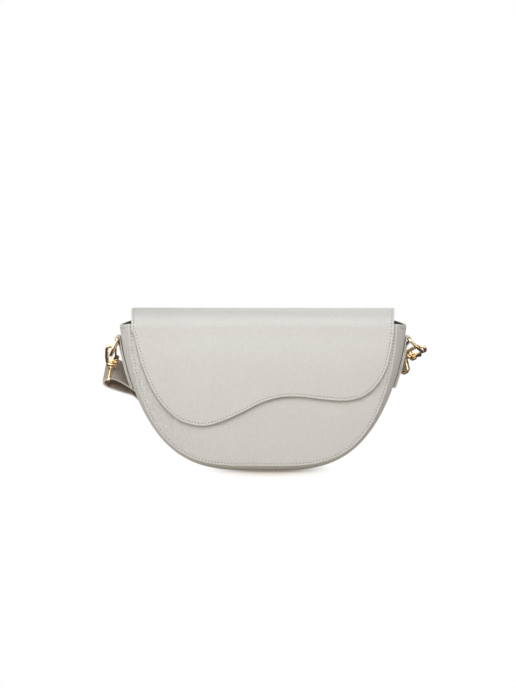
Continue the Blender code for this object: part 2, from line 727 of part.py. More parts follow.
def build_eye(name, frame, finishes):
    """A rivet head above the barrel, a collar below it, and the rectangular loop for the strap."""
    gold = finishes["gold"]
    head_base = BARREL_TOP + CLEARANCE
    collar_top = -BARREL_BOTTOM - CLEARANCE
    profile = [
        (0, -EYE_TOP),
        (STEM_RADIUS, -EYE_TOP),
        (COLLAR_RADIUS, collar_top - COLLAR_THICKNESS),
        (COLLAR_RADIUS, collar_top),
        (STEM_RADIUS, collar_top),
        (STEM_RADIUS, head_base),
        (HEAD_RADIUS, head_base),
        (HEAD_RADIUS, head_base + HEAD_THICKNESS),
        (0, head_base + HEAD_THICKNESS),
    ]
    eye = make_solid(f"{name}_swivel_eye", *turned(profile), gold, frame)
    half = EYE_HALF_WIDTH
    corner = EYE_CORNER_RADIUS
    low = -EYE_BAR + corner
    high = -EYE_TOP - corner
    outline = np.concatenate(
        [
            arc((half - corner, high), corner, 90, 0, 3),
            arc((half - corner, low), corner, 0, -90, 3),
            arc((corner - half, low), corner, -90, -180, 3),
            arc((corner - half, high), corner, 180, 90, 3),
        ]
    )
    path = np.stack([np.zeros(len(outline)), outline[:, 0], outline[:, 1]], axis=1)
    loop = wire(path, EYE_WIRE_RADIUS, (1, 0, 0), closed=True)
    boolean(eye, make_solid(f"{name}_eye_loop", *loop, gold, frame), "UNION")


def loop_section():
    """The strap end's path round the bar, along the tail and away from it: tight on one side, slack on the other."""
    close = EYE_WIRE_RADIUS + LOOP_LAYER / 2 + CLEARANCE
    apart = LOOP_LAYER / 2 + CLEARANCE / 2
    tail = LOOP_TAIL
    bulge = LOOP_BULGE
    through = (
        (tail, apart),
        (tail * 0.4, (apart + close) / 2),
        (tail * 0.12, close),
        (0, close),
        (-bulge * 0.45, close * 0.43),
        (-bulge * 0.65, -bulge * 0.28),
        (-bulge * 0.45, -bulge * 0.76),
        (0, -bulge),
        (tail * 0.2, -bulge * 0.95),
        (tail * 0.56, -bulge * 0.5),
        (tail, -apart),
    )
    return catmull_rom(through, 2)


def build_loop(name, frame, loop_side, finishes):
    """The end of the strap, folded round the eye's bar, its tail rounded about the bar."""
    section = loop_section() * (1, loop_side)
    centres = np.stack([section[:, 1], np.zeros(len(section)), -section[:, 0]], axis=1)
    folded = strip(centres, (0, 1, 0), STRAP_WIDTH / 2, LOOP_LAYER)
    loop = make_solid(f"{name}_strap_loop", *folded, finishes["leather"], frame)
    beyond = LOOP_BULGE + STRAP_THICKNESS
    rounding = rod(LOOP_TAIL, (-beyond, 0, 0), (beyond, 0, 0), OUTLINE_STEPS)
    boolean(loop, make_solid(f"{name}_tail_rounding", *rounding, finishes["leather"], frame), "INTERSECT")


def eye_frame_matrix(side):
    turn = Matrix.Rotation(math.radians(side["eye_turn"]), 4, "Z")
    return clip_frame_matrix(side) @ turn


def loop_frame_matrix(side):
    """On the eye's bar, its -Z along the strap's tail."""
    turn = Matrix.Rotation(math.radians(-side["loop_turn"]), 4, "Y")
    return eye_frame_matrix(side) @ Matrix.Translation((0, 0, -EYE_BAR)) @ turn


def strap_end(side):
    """Where the main strap meets the tail: the place, the way the tail points, and the strap's width."""
    frame = loop_frame_matrix(side)
    place = frame @ Vector((0, 0, -LOOP_TAIL - CLEARANCE))
    axes = frame.to_3x3()
    return np.array(place), -np.array(axes.col[2]), np.array(axes.col[1])


def strap_path():
    """From the left clip down behind the bag, to and fro on its edge on the ground, and up to the right clip."""
    start, leave, left_across = strap_end(SIDES["left"])
    end, arrive, right_across = strap_end(SIDES["right"])
    ground = STRAP_WIDTH / 2
    first = BACK + STRAP_STAND_OFF
    run = STRAP_RUN_HALF
    steps = round(STRAP_LAND_HANDLE * 3 / STRAP_STEP)
    fall = bezier(
        start,
        start + leave * STRAP_LEAVE_HANDLE,
        (run - STRAP_LAND_HANDLE, first, ground),
        (run, first, ground),
        steps,
    )
    runs = [fall[:-1]]
    for turn in range(STRAP_TURNS):
        way = 1 if turn % 2 == 0 else -1
        middle = first + (turn + 0.5) * STRAP_PITCH
        half_circle = arc((0, middle), STRAP_PITCH / 2, -90, 90, 8) * (way, 1) + (way * run, 0)
        runs.append(np.column_stack([half_circle, np.full(len(half_circle), ground)]))
    last = first + STRAP_TURNS * STRAP_PITCH
    rise = bezier(
        (-run, last, ground),
        (STRAP_LIFT_HANDLE - run, last, ground),
        end + arrive * STRAP_ARRIVE_HANDLE,
        end,
        steps,
    )
    runs.append(rise[1:])
    path = np.concatenate(runs)
    return path, left_across, right_across


def build_strap(finishes):
    path, left_across, right_across = strap_path()
    travel = np.concatenate([[0], np.cumsum(np.linalg.norm(np.diff(path, axis=0), axis=1))])
    across = np.zeros_like(path)
    across[:, 2] = 1
    for ends, from_end in ((left_across, travel), (right_across, travel[-1] - travel)):
        share = np.clip(from_end / STRAP_TWIST_LENGTH, 0, 1)
        ease = (1 - share * share * (3 - 2 * share))[:, None]
        across = across * (1 - ease) + ends * ease
    make_solid("strap", *strip(path, across, STRAP_WIDTH / 2, STRAP_THICKNESS), finishes["leather"])
    print("strap between its tails, metres:", round(float(travel[-1]), 4))


def build_side(name, side, finishes):
    """Tab, ring, clip and strap end of one side, from the bag outwards."""
    build_tab(name, side, finishes)
    build_ring(name, side, finishes)
    clip = make_frame(f"{name}_clip_frame", clip_frame_matrix(side))
    build_hook(name, clip, finishes)
    build_gate(name, clip, finishes)
    eye = make_frame(f"{name}_eye_axis", eye_frame_matrix(side))
    build_eye(name, eye, finishes)
    loop = make_frame(f"{name}_loop_axis", loop_frame_matrix(side))
    build_loop(name, loop, side["loop_side"], finishes)


def main():
    clear_scene()
    finishes = {
        "leather": make_finish("bone_leather", (0.66, 0.64, 0.59), 0.55),
        "suede": make_finish("taupe_suede", (0.09, 0.075, 0.06), 0.9),
        "board": make_finish("grey_board", (0.35, 0.33, 0.30), 0.9),
        "gold": make_finish("pale_gold", (0.83, 0.67, 0.40), 0.25, metallic=1.0),
        "steel": make_finish("spring_steel", (0.55, 0.55, 0.56), 0.35, metallic=1.0),
    }
    front_panel = build_body(finishes)
    flap_lining, fold_frame = build_flap(finishes)
    build_magnets(front_panel, flap_lining, fold_frame, finishes)
    for name, side in SIDES.items():
        build_side(name, side, finishes)
    build_strap(finishes)


main()
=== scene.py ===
import math

import bmesh
import bpy
import numpy as np
from bpy.props import FloatProperty, FloatVectorProperty, PointerProperty
from mathutils import Matrix, Vector


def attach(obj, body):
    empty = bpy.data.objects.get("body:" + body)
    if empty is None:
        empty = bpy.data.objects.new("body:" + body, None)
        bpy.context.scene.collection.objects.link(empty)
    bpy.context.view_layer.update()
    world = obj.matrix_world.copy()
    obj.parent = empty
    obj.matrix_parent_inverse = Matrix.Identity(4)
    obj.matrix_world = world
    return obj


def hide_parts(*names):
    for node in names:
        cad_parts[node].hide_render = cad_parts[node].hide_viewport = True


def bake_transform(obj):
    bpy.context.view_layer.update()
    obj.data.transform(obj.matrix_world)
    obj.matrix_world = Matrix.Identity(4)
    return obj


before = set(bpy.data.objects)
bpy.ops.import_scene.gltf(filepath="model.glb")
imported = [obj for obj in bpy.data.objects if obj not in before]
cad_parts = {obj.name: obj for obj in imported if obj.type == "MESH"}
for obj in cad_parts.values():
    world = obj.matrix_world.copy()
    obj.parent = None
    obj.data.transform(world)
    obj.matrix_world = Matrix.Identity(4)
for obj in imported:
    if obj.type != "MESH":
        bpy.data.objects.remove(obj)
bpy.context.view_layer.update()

bl_info = {
    "name": "Half-moon shoulder bag",
    "version": (1, 0, 0),
    "blender": (4, 5, 0),
    "location": "3D View > Sidebar > Shoulder bag",
    "description": "Dresses the packed shoulder bag in pebbled leather, suede, stitching and gold hardware",
    "category": "Object",
}

MM = 0.001

# The body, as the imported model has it. A half-moon is (half width, top, bottom, drop power, side power)
BACK = 0.033
PANEL_SHAPE = (0.1225, 0.137, 0.0068, 1.75, 3.7)
PANEL_FULLNESS, PANEL_ROUNDNESS, PANEL_FADE = 2.0 * MM, 0.7, 0.04
GUSSET_SHAPE = (0.1325, 0.1347, -0.0008, 1.5, 3.4)
GUSSET_END, LINING_END = 0.0309, 0.0289
GUSSET_BOW = 2.5
WALL = 0.0018
OUTLINE_STEPS = 900

# The flap. Its foot is (share of the half width, share of the drop)
FLAP_HALF = 0.12
FLAP_DROP = 0.087
FLAP_FULLNESS = 1.15
FOLD_HEIGHT = 0.1315
CREST_REACH, CREST_RISE, CREST_POWER = 0.03495, 0.0169, 2.9
ANCHOR_HEIGHT = 0.0258
ANCHOR_CORNER = 0.015
FLAP_FOOT = (
    (-1.0, 0.0), (-0.979, 0.052), (-0.945, 0.237), (-0.9025, 0.425), (-0.843, 0.613), (-0.7675, 0.775),
    (-0.6825, 0.891), (-0.5975, 0.963), (-0.452, 1.0), (-0.317, 0.956), (-0.1625, 0.861), (-0.0075, 0.753),
    (0.1475, 0.694), (0.302, 0.692), (0.4575, 0.717), (0.603, 0.733), (0.705, 0.716), (0.79, 0.669),
    (0.874, 0.564), (0.9425, 0.401), (0.976, 0.214), (1.0, 0.0),
)

# Tabs and rings
TAB_WIDTH = 0.018
TAB_WALL = 0.0012
TAB_FOOT = 0.0766
RING_RADIUS = 0.0014
RING_HALF = 0.0115
RING_CORNER = 0.002
RING_LEG = 0.006
RING_HEIGHT = 0.1216
GAP = 0.0003

# Clips, each in its own axes: origin on the swivel, Z towards the bend, the gate on +X
PIVOT = (0.0049, 0.006)
EYE_HALF = 0.0148
EYE_CORNER = 0.0022
EYE_TOP = 0.0042
EYE_BAR = 0.0125
EYE_RADIUS = 0.0014

# Strap, and its folds on the ground behind the bag. The stops are the distances from a tail at which the
# strap is cut into runs, each given a pair of the bodies in turn
STRAP_WIDTH = 0.025
STRAP_WALL = 0.0022
LOOP_TAIL = 0.025
STORE_GAP, STORE_HALF, STORE_PITCH, STORE_TURNS = 0.019, 0.045, 0.01, 4
STRAP_STOPS = (0, 0.022, 0.045, 0.068, 0.1)

# The strap's end round the bar, seen from the side: (along the tail, off it), in mm
LOOPS = {
    "left": (
        (25, 7.5), (18, 8.6), (10, 9.3), (4, 9.1), (-1.5, 7.4), (-4.6, 4.0), (-5.4, 0.2), (-4.3, -3.0),
        (-1, -4.6), (4, -4.5), (12, -2.7), (20, -0.4), (25, 1.2),
    ),
    "right": (
        (25, 1.25), (10, 2.0), (3, 2.75), (0, 2.8), (-3.6, 1.2), (-5.1, -2.2), (-3.6, -6.0), (0, -7.9),
        (5, -7.5), (14, -3.95), (25, -1.25),
    ),
}

# How ring and clip hang. In degrees: the ring's tilt, the clip's turn, lean and roll, the swivel (eye) and
# the strap's end (loop). In metres: where the hook touches the ring, and how far that is from the swivel
SIDES = {
    "left": dict(
        sign=-1, tilt=24.0, touch=0.005, beside=0.0006, reach=0.0155, turn=6.0, lean=42.0, roll=0.0,
        eye=0.0, loop=58.0, loop_side=1,
    ),
    "right": dict(
        sign=1, tilt=47.0, touch=0.0061, beside=0.00045, reach=0.0195, turn=57.0, lean=51.5, roll=25.0,
        eye=38.0, loop=-16.0, loop_side=-1,
    ),
}

# Finish numbers of a sheet: its face, cut edge, underside, thread, and the painted shade in its needle holes
FACE, EDGE, UNDER, THREAD, HOLE_SHADE = range(5)

# Half width of the painted shade disc in a needle hole, and how far it lies below the thread, in radii of the
# thread
HOLE_SHADE_WIDTH, HOLE_SHADE_SINK = 1.85, 0.25


# Curves and grids


def unit(vectors):
    return vectors / np.maximum(np.linalg.norm(vectors, axis=-1, keepdims=True), 1e-12)


def joined(*parts):
    return np.concatenate(parts)


def in_columns(*parts):
    return np.stack(parts, axis=1)


def ease(t):
    """Smooth step: 3 t squared less 2 t cubed, with t held between 0 and 1."""
    t = np.clip(t, 0, 1)
    return t * t * (3 - 2 * t)


def travel(path):
    """Distance run along a path up to each of its points."""
    return joined([0], np.cumsum(np.linalg.norm(np.diff(path, axis=0), axis=1)))


def columns_at(at, run, values):
    """Each column of the values, read at these distances of the run."""
    return np.stack([np.interp(at, run, column) for column in values.T], axis=1)


def along(path, distances):
    """Points at these distances run along a path."""
    return columns_at(distances, travel(path), path)


def even(path, steps):
    """The same path with its points at equal distances."""
    return along(path, np.linspace(0, travel(path)[-1], steps + 1))


def arc(centre, radius, start, end, steps):
    """Points on a circle: centre plus radius times cosine and sine of an angle in degrees."""
    angle = np.radians(np.linspace(start, end, steps + 1))
    return in_columns(centre[0] + radius * np.cos(angle), centre[1] + radius * np.sin(angle))


def half_moon(shape, steps):
    """Half a superellipse under a straight top: x = -w cos(a)^(2/side), z = top - d sin(a)^(2/drop)."""
    half, top, bottom, drop_power, side_power = shape
    angle = np.linspace(0, math.pi, 4001)
    drop = np.abs(np.sin(angle)) ** (2 / drop_power)
    side = np.sign(np.cos(angle)) * np.abs(np.cos(angle)) ** (2 / side_power)
    return even(in_columns(-half * side, top - (top - bottom) * drop), steps)


def through(points, steps_each):
    """Catmull-Rom curve through all the points, worked out for every span at once."""
    points = np.asarray(points, float)
    padded = joined(2 * points[:1] - points[1:2], points, 2 * points[-1:] - points[-2:-1])
    a, b, c, d = (padded[k : len(padded) - 3 + k, None] for k in range(4))
    t = (np.arange(steps_each) / steps_each)[None, :, None]
    curve = (2 * b + (c - a) * t + (2 * a - 5 * b + 4 * c - d) * t**2 + (3 * b - a - 3 * c + d) * t**3) / 2
    return joined(curve.reshape(-1, points.shape[1]), points[-1:])


def bezier(start, leave, arrive, end, steps):
    """Cubic curve between two points, drawn towards two handles."""
    t = np.linspace(0, 1, steps + 1)[:, None]
    start, leave, arrive, end = (np.asarray(p, float) for p in (start, leave, arrive, end))
    return start * (1 - t) ** 3 + 3 * leave * (1 - t) ** 2 * t + 3 * arrive * (1 - t) * t**2 + end * t**3


def mitred(path, closed):
    """Outward normals of a flat path that runs anticlockwise, longer at its corners by the mitre."""
    step = np.diff(path, axis=0, append=path[:1]) if closed else np.diff(path, axis=0)
    normal = unit(in_columns(step[:, 1], -step[:, 0]))
    before = np.roll(normal, 1, axis=0) if closed else joined(normal[:1], normal)
    after = normal if closed else joined(normal, normal[-1:])
    both = unit(before + after)
    return both / np.maximum((both * after).sum(axis=1), 0.5)[:, None]


def rounded_foot(half, foot, corner, steps):
    """The foot of a sheet with round lower corners, from its left side to its right one."""
    left = arc((corner - half, foot + corner), corner, 180, 270, steps)
    return joined(left, arc((half - corner, foot + corner), corner, 270, 360, steps))


def grid_quads(rows, columns, start=0, close_rows=False, close_columns=False):
    """Quads between neighbouring points of a grid stored row by row."""
    i = np.arange(rows if close_rows else rows - 1)
    j = np.arange(columns if close_columns else columns - 1)
    i, j = np.meshgrid(i, j, indexing="ij")
    below, beside = (i + 1) % rows, (j + 1) % columns
    corners = (i * columns + j, below * columns + j, below * columns + beside, i * columns + beside)
    return start + np.stack(corners, axis=-1).reshape(-1, 4)


def ring_quads(loops, closed):
    """Quads between loops of point numbers that all have the same count."""
    if closed:
        loops = [np.append(loop, loop[0]) for loop in loops]
    pairs = zip(loops[:-1], loops[1:])
    return [in_columns(a[:-1], b[:-1], b[1:], a[1:]) for a, b in pairs]


def rim_numbers(rows, columns, open_top):
    """Point numbers round a grid's rim: down its left, along its foot, up its right, back along its top."""
    index = np.arange(rows * columns).reshape(rows, columns)
    rim = joined(index[:, 0], index[-1, 1:], index[-2::-1, -1])
    return rim if open_top else joined(rim, index[0, -2:0:-1])


def swept(rows, closed=False):
    """Points and faces of rows that are all closed loops, with a flat cap at both ends of open rows."""
    count, around = len(rows) * rows.shape[1], np.arange(rows.shape[1])
    faces = [grid_quads(*rows.shape[:2], close_rows=closed, close_columns=True)]
    return rows.reshape(-1, 3), faces if closed else [*faces, around[None], (count - 1 - around)[None]]


def sandwich(face, borders, back, closed):
    """A sheet of a face grid, loops of points round its rim and a back grid: points, faces and loops."""
    rows, columns = face.shape[:2]
    rim = rim_numbers(rows, columns, not closed)
    start, size = rows * columns, len(borders[0])
    loops = [rim, *(start + size * k + np.arange(size) for k in range(len(borders)))]
    start += size * len(borders)
    loops.append(start + rim)
    faces = [grid_quads(rows, columns), grid_quads(rows, columns, start)] + ring_quads(loops, closed)
    points = [face.reshape(-1, face.shape[-1]), *borders, back.reshape(-1, face.shape[-1])]
    return np.concatenate(points), faces, loops


def coons(top, foot, left, right):
    """Surface between four curves: the sum of both ruled surfaces less the one through the corners."""
    u = np.linspace(0, 1, len(top))[None, :, None]
    v = np.linspace(0, 1, len(left))[:, None, None]
    corners = (1 - u) * (1 - v) * top[0] + u * (1 - v) * top[-1] + (1 - u) * v * foot[0] + u * v * foot[-1]
    ruled = (1 - v) * top[None] + v * foot[None] + (1 - u) * left[:, None] + u * right[:, None]
    return ruled - corners


def placed(points, matrix):
    matrix = np.array(matrix)
    return points @ matrix[:3, :3].T + matrix[:3, 3]


# Pieces


class Skin:
    """Points, faces and finish numbers of one piece, gathered before they become a mesh."""

    def __init__(self):
        self.points, self.faces, self.finish, self.count = [], [], [], 0

    def add(self, points, faces, finish=FACE, matrix=None):
        """Faces are arrays of point numbers; finish is one number, or one for each array."""
        points = np.asarray(points, float).reshape(-1, 3)
        if matrix is not None:
            points = placed(points, matrix)
        finishes = [finish] * len(faces) if isinstance(finish, int) else finish
        for block, number in zip(faces, finishes):
            block = np.atleast_2d(block)
            self.faces += (block + self.count).tolist()
            self.finish += [number] * len(block)
        self.points.append(points)
        self.count += len(points)

    def make(self, name, finishes, slot, body=None, blend=None, replaces=(), sharp=40):
        """The mesh object, its faces turned outwards, riding on its body; one given a blend keeps its place
        in the world and rides on no body.
        """
        mesh = bpy.data.meshes.new(name)
        mesh.from_pydata(np.concatenate(self.points).tolist(), [], self.faces)
        mesh.polygons.foreach_set("material_index", np.array(self.finish, np.int32))
        working = bmesh.new()
        working.from_mesh(mesh)
        bmesh.ops.recalc_face_normals(working, faces=working.faces)
        working.to_mesh(mesh)
        working.free()
        mesh.shade_smooth()
        mesh.set_sharp_from_angle(angle=math.radians(sharp))
        for finish in finishes:
            mesh.materials.append(FINISHES[finish])
        obj = bpy.data.objects.new(name, mesh)
        bpy.context.scene.collection.objects.link(obj)
        if blend:
            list(blend[:2])
            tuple(blend[2])
            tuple(blend[3])
            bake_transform(obj)
        else:
            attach(obj, body)
        if replaces:
            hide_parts(*replaces)
        return obj


def cut_profile(band, wall, seam, groove, edge):
    """Section of a cut sheet's border, as (distance in from the edge, height): flat, a dip at the seam, a
    round cut edge, and flat again on the back. FIRST_CUT to LAST_CUT are the steps that go round the edge."""
    half, shoulder = wall / 2, wall / 2 - 0.25 * groove
    dip = [(seam + 1.1 * MM, half), (seam + 0.55 * MM, shoulder), (seam, half - groove)]
    dip += [(seam - 0.55 * MM, shoulder), (seam - MM, half)]
    front = [(edge, half - 0.03 * MM), (edge * 0.3, half - edge * 0.4), (0, half - edge)]
    back = [(0, edge - half), (edge * 0.3, edge * 0.4 - half), (edge, -half)]
    return [(band, half), *dip, *front, *back, (band, -half)]


FIRST_CUT, LAST_CUT = 6, 10


def cut_sheet(open_outline, rows, columns, profile, place, open_top=False):
    """A sheet cut to an outline that runs down the left, along the foot and up the right. Its inside is a
    Coons surface, its border the profile carried round. place turns (a, b, height) into points.
    Returns points, faces and finish numbers."""
    outline = even(open_outline, 2 * (rows - 1) + columns - 1)
    if not open_top:
        back = np.linspace(outline[-1], outline[0], columns)[1:-1]
        outline = joined(outline, back)
    normal = mitred(outline, closed=not open_top)
    rim = outline - normal * profile[0][0]
    corner, other = rows - 1, rows + columns - 2
    left, foot, right = rim[: corner + 1], rim[corner : other + 1], rim[other : other + rows][::-1]
    patch = coons(np.linspace(left[0], right[0], columns), foot, left, right)

    def at(flat, height):
        return np.concatenate([flat, np.full((*flat.shape[:-1], 1), height)], axis=-1)

    borders = [at(outline - normal * distance, height) for distance, height in profile[1:-1]]
    flat, faces, loops = sandwich(at(patch, profile[0][1]), borders, at(patch, profile[-1][1]), not open_top)
    finish = [FACE, UNDER]
    finish += [FACE if k < FIRST_CUT else EDGE if k <= LAST_CUT else UNDER for k in range(len(loops) - 1)]
    if open_top:
        last = [loop[-1] for loop in loops[1:-1]]
        first = [loop[0] for loop in loops[-2:0:-1]]
        across = np.arange(columns)
        faces.append(joined(across, last, loops[-1][0] + across[::-1], first)[None])
        finish.append(FACE)
    return place(*flat.T), faces, finish


def seam_line(open_outline, seam, height, place, closed=False, steps=900):
    """The stitch line inside a cut edge, with the surface's normal along it."""
    outline = even(open_outline, steps)
    if closed:
        outline = joined(outline, even(np.stack([outline[-1], outline[0]]), steps // 3)[1:-1])
    line = outline - mitred(outline, closed) * seam
    if closed:
        line = joined(line, line[:1])
    low, high = (place(*line.T, np.full(len(line), level)) for level in (height, height + MM))
    return low, unit(high - low)


def stitches(skin, path, normals, look):
    """Stitches along a path, each a six-sided bar that swells in the middle and dips into its holes, and a
    dark flattened disc between each two: painted shade where the needle hole is."""
    run, radius, pitch = travel(path), look.thread_radius, look.stitch_pitch
    count = max(1, int(run[-1] // pitch))
    spare = (run[-1] - count * pitch) / 2
    six = np.arange(6)

    def repeat(at, shape, blocks, finish):
        """A copy of the shape (way, side, up) and its faces at each of these distances."""
        step = 0.2 * MM
        way = unit(along(path, np.minimum(at + step, run[-1])) - along(path, np.maximum(at - step, 0)))
        up = columns_at(at, run, normals)
        up = unit(up - (up * way).sum(axis=1)[:, None] * way)
        points = along(path, at)[:, None] + way[:, None] * shape[None, :, :1]
        points = points + np.cross(up, way)[:, None] * shape[None, :, 1:2]
        points = points + up[:, None] * shape[None, :, 2:]
        start = (np.arange(len(at)) * len(shape))[:, None, None]
        skin.add(points, [(block[None] + start).reshape(-1, block.shape[1]) for block in blocks], finish)

    reach = np.array([-0.5, -0.42, -0.2, 0.2, 0.42, 0.5]) * look.stitch_length
    thick = np.array([0.35, 0.75, 1.0, 1.0, 0.75, 0.35])[:, None]
    lift = np.array([-0.9, -0.35, 0.0, 0.0, -0.35, -0.9])[:, None] * radius
    turn = np.radians(six * 60 + 30)
    side, up = (thick * np.cos(turn) * radius).ravel(), (thick * np.sin(turn) * radius * 0.8 + lift).ravel()
    blocks = [grid_quads(6, 6, close_columns=True), np.array([six[::-1], 30 + six])]
    bar = in_columns(np.repeat(reach, 6), side, up)
    repeat(spare + (np.arange(count) + 0.5) * pitch, bar, blocks, THREAD)
    # A dark disc at each needle hole between the stitches: painted shade
    turn = np.radians(six * 60)
    hole = joined(in_columns(np.cos(turn), np.sin(turn), 0 * turn), [[0, 0, 0.35], [0, 0, -0.5]])
    hole = hole * radius * HOLE_SHADE_WIDTH - (0, 0, radius * HOLE_SHADE_SINK)
    fans = [in_columns(six, (six + 1) % 6, np.full(6, tip)) for tip in (6, 7)]
    repeat(spare + np.arange(1, count) * pitch, hole, fans, HOLE_SHADE)


def thick_grid(outer, inner, swell):
    """Two grids of one shape joined into a closed sheet, its rim rounded: middle plus half the wall times
    sine plus swell times cosine."""
    rim = rim_numbers(*outer.shape[:2], open_top=False)
    away = np.zeros_like(outer)
    away[0] += unit(outer[0] - outer[1])
    away[-1] += unit(outer[-1] - outer[-2])
    away[:, 0] += unit(outer[:, 0] - outer[:, 1])
    away[:, -1] += unit(outer[:, -1] - outer[:, -2])
    face, back, out = (grid.reshape(-1, 3)[rim] for grid in (outer, inner, away))
    middle, half, out = (face + back) / 2, (face - back) / 2, unit(out)
    angles = np.radians([65, 40, 0, -40, -65])
    borders = [middle + half * math.sin(angle) + out * swell * math.cos(angle) for angle in angles]
    points, faces, _ = sandwich(outer, borders, inner, closed=True)
    return points, faces, [FACE, UNDER, FACE, EDGE, EDGE, EDGE, EDGE, UNDER]


def ribbon(centres, across, section):
    """A band carried along a path: centre + across times w + normal times h for every (w, h) of its section.
    The normal is across crossed with the path's direction. Returns a row of points for each centre."""
    way = unit(np.gradient(centres, axis=0))
    across = np.broadcast_to(across, centres.shape)
    across = unit(across - (across * way).sum(axis=1)[:, None] * way)
    normal = np.cross(across, way)
    points = centres[:, None] + across[:, None] * section[..., :1] + normal[:, None] * section[..., 1:]
    return points, normal


def band_section(width, wall, edge, seam=None, groove=0.0):
    """A flat band's closed section (w, h): cut edges rounded, and a dip at each seam on the upper face."""

    def both_sides(half):
        half = np.array(half)
        return joined(half, (half[:-1] * (-1, 1))[::-1])

    half, thick, near = width / 2, wall / 2, 0.5 * MM
    top = [(half, thick - edge), (half - edge * 0.3, thick - edge * 0.4), (half - edge, thick)]
    if seam:
        top += [(half - seam + near, thick), (half - seam, thick - groove), (half - seam - near, thick)]
    foot = [(-half, edge - thick), (edge * 0.3 - half, edge * 0.4 - thick)]
    foot += [(edge - half, -thick), (0, -thick)]
    return joined(both_sides([*top, (half * 0.5, thick), (0, thick)]), both_sides(foot))


def add_rows(skin, points, section, wall, edge, caps=(True, True), matrix=None):
    """Adds a ribbon's rows of points: its upper face, cut edges and underside told apart, and an end cap
    where one is wanted."""
    middle = (section[:, 1] + np.roll(section, -1, axis=0)[:, 1]) / 2
    flat = wall / 2 - edge * 0.25
    sides = np.tile(np.where(middle > flat, FACE, np.where(middle < -flat, UNDER, EDGE)), len(points) - 1)
    points, (quads, *ends) = swept(points)
    blocks = [quads[sides == number] for number in (FACE, EDGE, UNDER)]
    blocks += [end for end, wanted in zip(ends, caps) if wanted]
    skin.add(points, blocks, [FACE, EDGE, UNDER, EDGE, EDGE][: len(blocks)], matrix)


def tube(path, radius, closed=False, sides=16, plane=(0, 1, 0)):
    """A bar along a flat path: centre + radius (cos * side + sin * plane normal), with round ends."""
    path = np.asarray(path, float)
    radius = np.broadcast_to(np.asarray(radius, float), len(path)).copy()
    if closed:
        way = unit(np.roll(path, -1, axis=0) - np.roll(path, 1, axis=0))
    else:
        way = unit(np.gradient(path, axis=0))
        cap, flatness = np.radians([20, 40, 60, 80]), 0.7
        first = path[0] - way[0] * (radius[0] * flatness * np.cos(cap))[:, None]
        last = path[-1] + way[-1] * (radius[-1] * flatness * np.cos(cap[::-1]))[:, None]
        path = joined(first, path, last)
        radius = joined(radius[0] * np.sin(cap), radius, radius[-1] * np.sin(cap)[::-1])
        way = joined(np.repeat(way[:1], len(cap), axis=0), way, np.repeat(way[-1:], len(cap), axis=0))
    plane = np.asarray(plane, float)
    side = unit(np.cross(plane, way))
    angle = 2 * math.pi * np.arange(sides) / sides
    ring = np.cos(angle)[None, :, None] * side[:, None] + np.sin(angle)[None, :, None] * plane
    return swept(path[:, None] + radius[:, None, None] * ring, closed)


def wire(outline, steps, radius):
    """A closed wire of even points along a flat outline, standing across the Y axis."""
    outline = even(joined(outline, outline[:1]), steps)[:-1]
    path = in_columns(np.zeros(len(outline)), outline[:, 0], outline[:, 1])
    return tube(path, radius, closed=True, sides=20, plane=(1, 0, 0))


def turned(profile, steps=40):
    """A profile of (radius, height) turned round the Z axis; its first and last points lie on the axis."""
    profile = np.asarray(profile, float)
    angle = 2 * math.pi * np.arange(steps) / steps
    rings = profile[1:-1]
    heights = np.broadcast_to(rings[:, 1:], (len(rings), steps))
    x, y = rings[:, :1] * np.cos(angle), rings[:, :1] * np.sin(angle)
    points = np.stack([x, y, heights], axis=-1).reshape(-1, 3)
    poles = np.array([(0, 0, profile[0, 1]), (0, 0, profile[-1, 1])])
    count, around = len(points), np.arange(steps)
    beside = (around + 1) % steps
    low = in_columns(np.full(steps, count), beside, around)
    high = in_columns(np.full(steps, count + 1), around + count - steps, beside + count - steps)
    return joined(points, poles), [grid_quads(len(rings), steps, close_columns=True), low, high]


def slab(outline, low, high, rounding=0.3 * MM):
    """A plate between two depths with its edge rounded: loops drawn in by the rounding at both faces."""
    normal, slope = mitred(outline, closed=True), rounding * 0.3
    steps = [(rounding, low), (slope, low + slope), (0, low + rounding)]
    steps += [(0, high - rounding), (slope, high - slope), (rounding, high)]
    rows = []
    for distance, depth in steps:
        flat = outline - normal * distance
        rows.append(in_columns(flat[:, 0], np.full(len(flat), depth), flat[:, 1]))
    return swept(np.stack(rows))


# Finishes

FINISHES = {}


def node(tree, kind, inputs=None, **settings):
    """A shader node with its settings, each input given a value or linked from a socket."""
    made = tree.nodes.new("ShaderNode" + kind)
    for key, value in settings.items():
        setattr(made, key, value)
    for key, value in (inputs or {}).items():
        if isinstance(value, bpy.types.NodeSocket):
            tree.links.new(value, made.inputs[key])
        else:
            made.inputs[key].default_value = value
    return made


def calc(tree, operation, *values):
    return node(tree, "Math", dict(enumerate(values)), operation=operation).outputs[0]


def vector(tree, operation, *values, scale=None):
    inputs = dict(enumerate(values)) | ({} if scale is None else {"Scale": scale})
    made = node(tree, "VectorMath", inputs, operation=operation)
    return made.outputs["Value" if operation == "LENGTH" else 0]


def noise(tree, place, scale, detail):
    return node(tree, "TexNoise", {"Vector": place, "Scale": scale, "Detail": detail}).outputs


def ramp(tree, value, low, high, dark=0.0, light=1.0, soft=True):
    """The value carried from between low and high to between dark and light."""
    inputs = {"Value": value, "From Min": low, "From Max": high, "To Min": dark, "To Max": light}
    return node(tree, "MapRange", inputs, interpolation_type="SMOOTHSTEP" if soft else "LINEAR").outputs[0]


def mix_colour(tree, factor, first, second, blend_type="MIX"):
    inputs = {0: factor, 6: first, 7: second}
    return node(tree, "Mix", inputs, data_type="RGBA", blend_type=blend_type).outputs[2]


def glow(tree, strength, colour=(1.0, 1.0, 1.0), kind="Emission"):
    return node(tree, kind, {"Color": (*colour, 1.0), "Strength": strength}).outputs[0]


def choose(tree, factor, first, second):
    return node(tree, "MixShader", {0: factor, 1: first, 2: second}).outputs[0]


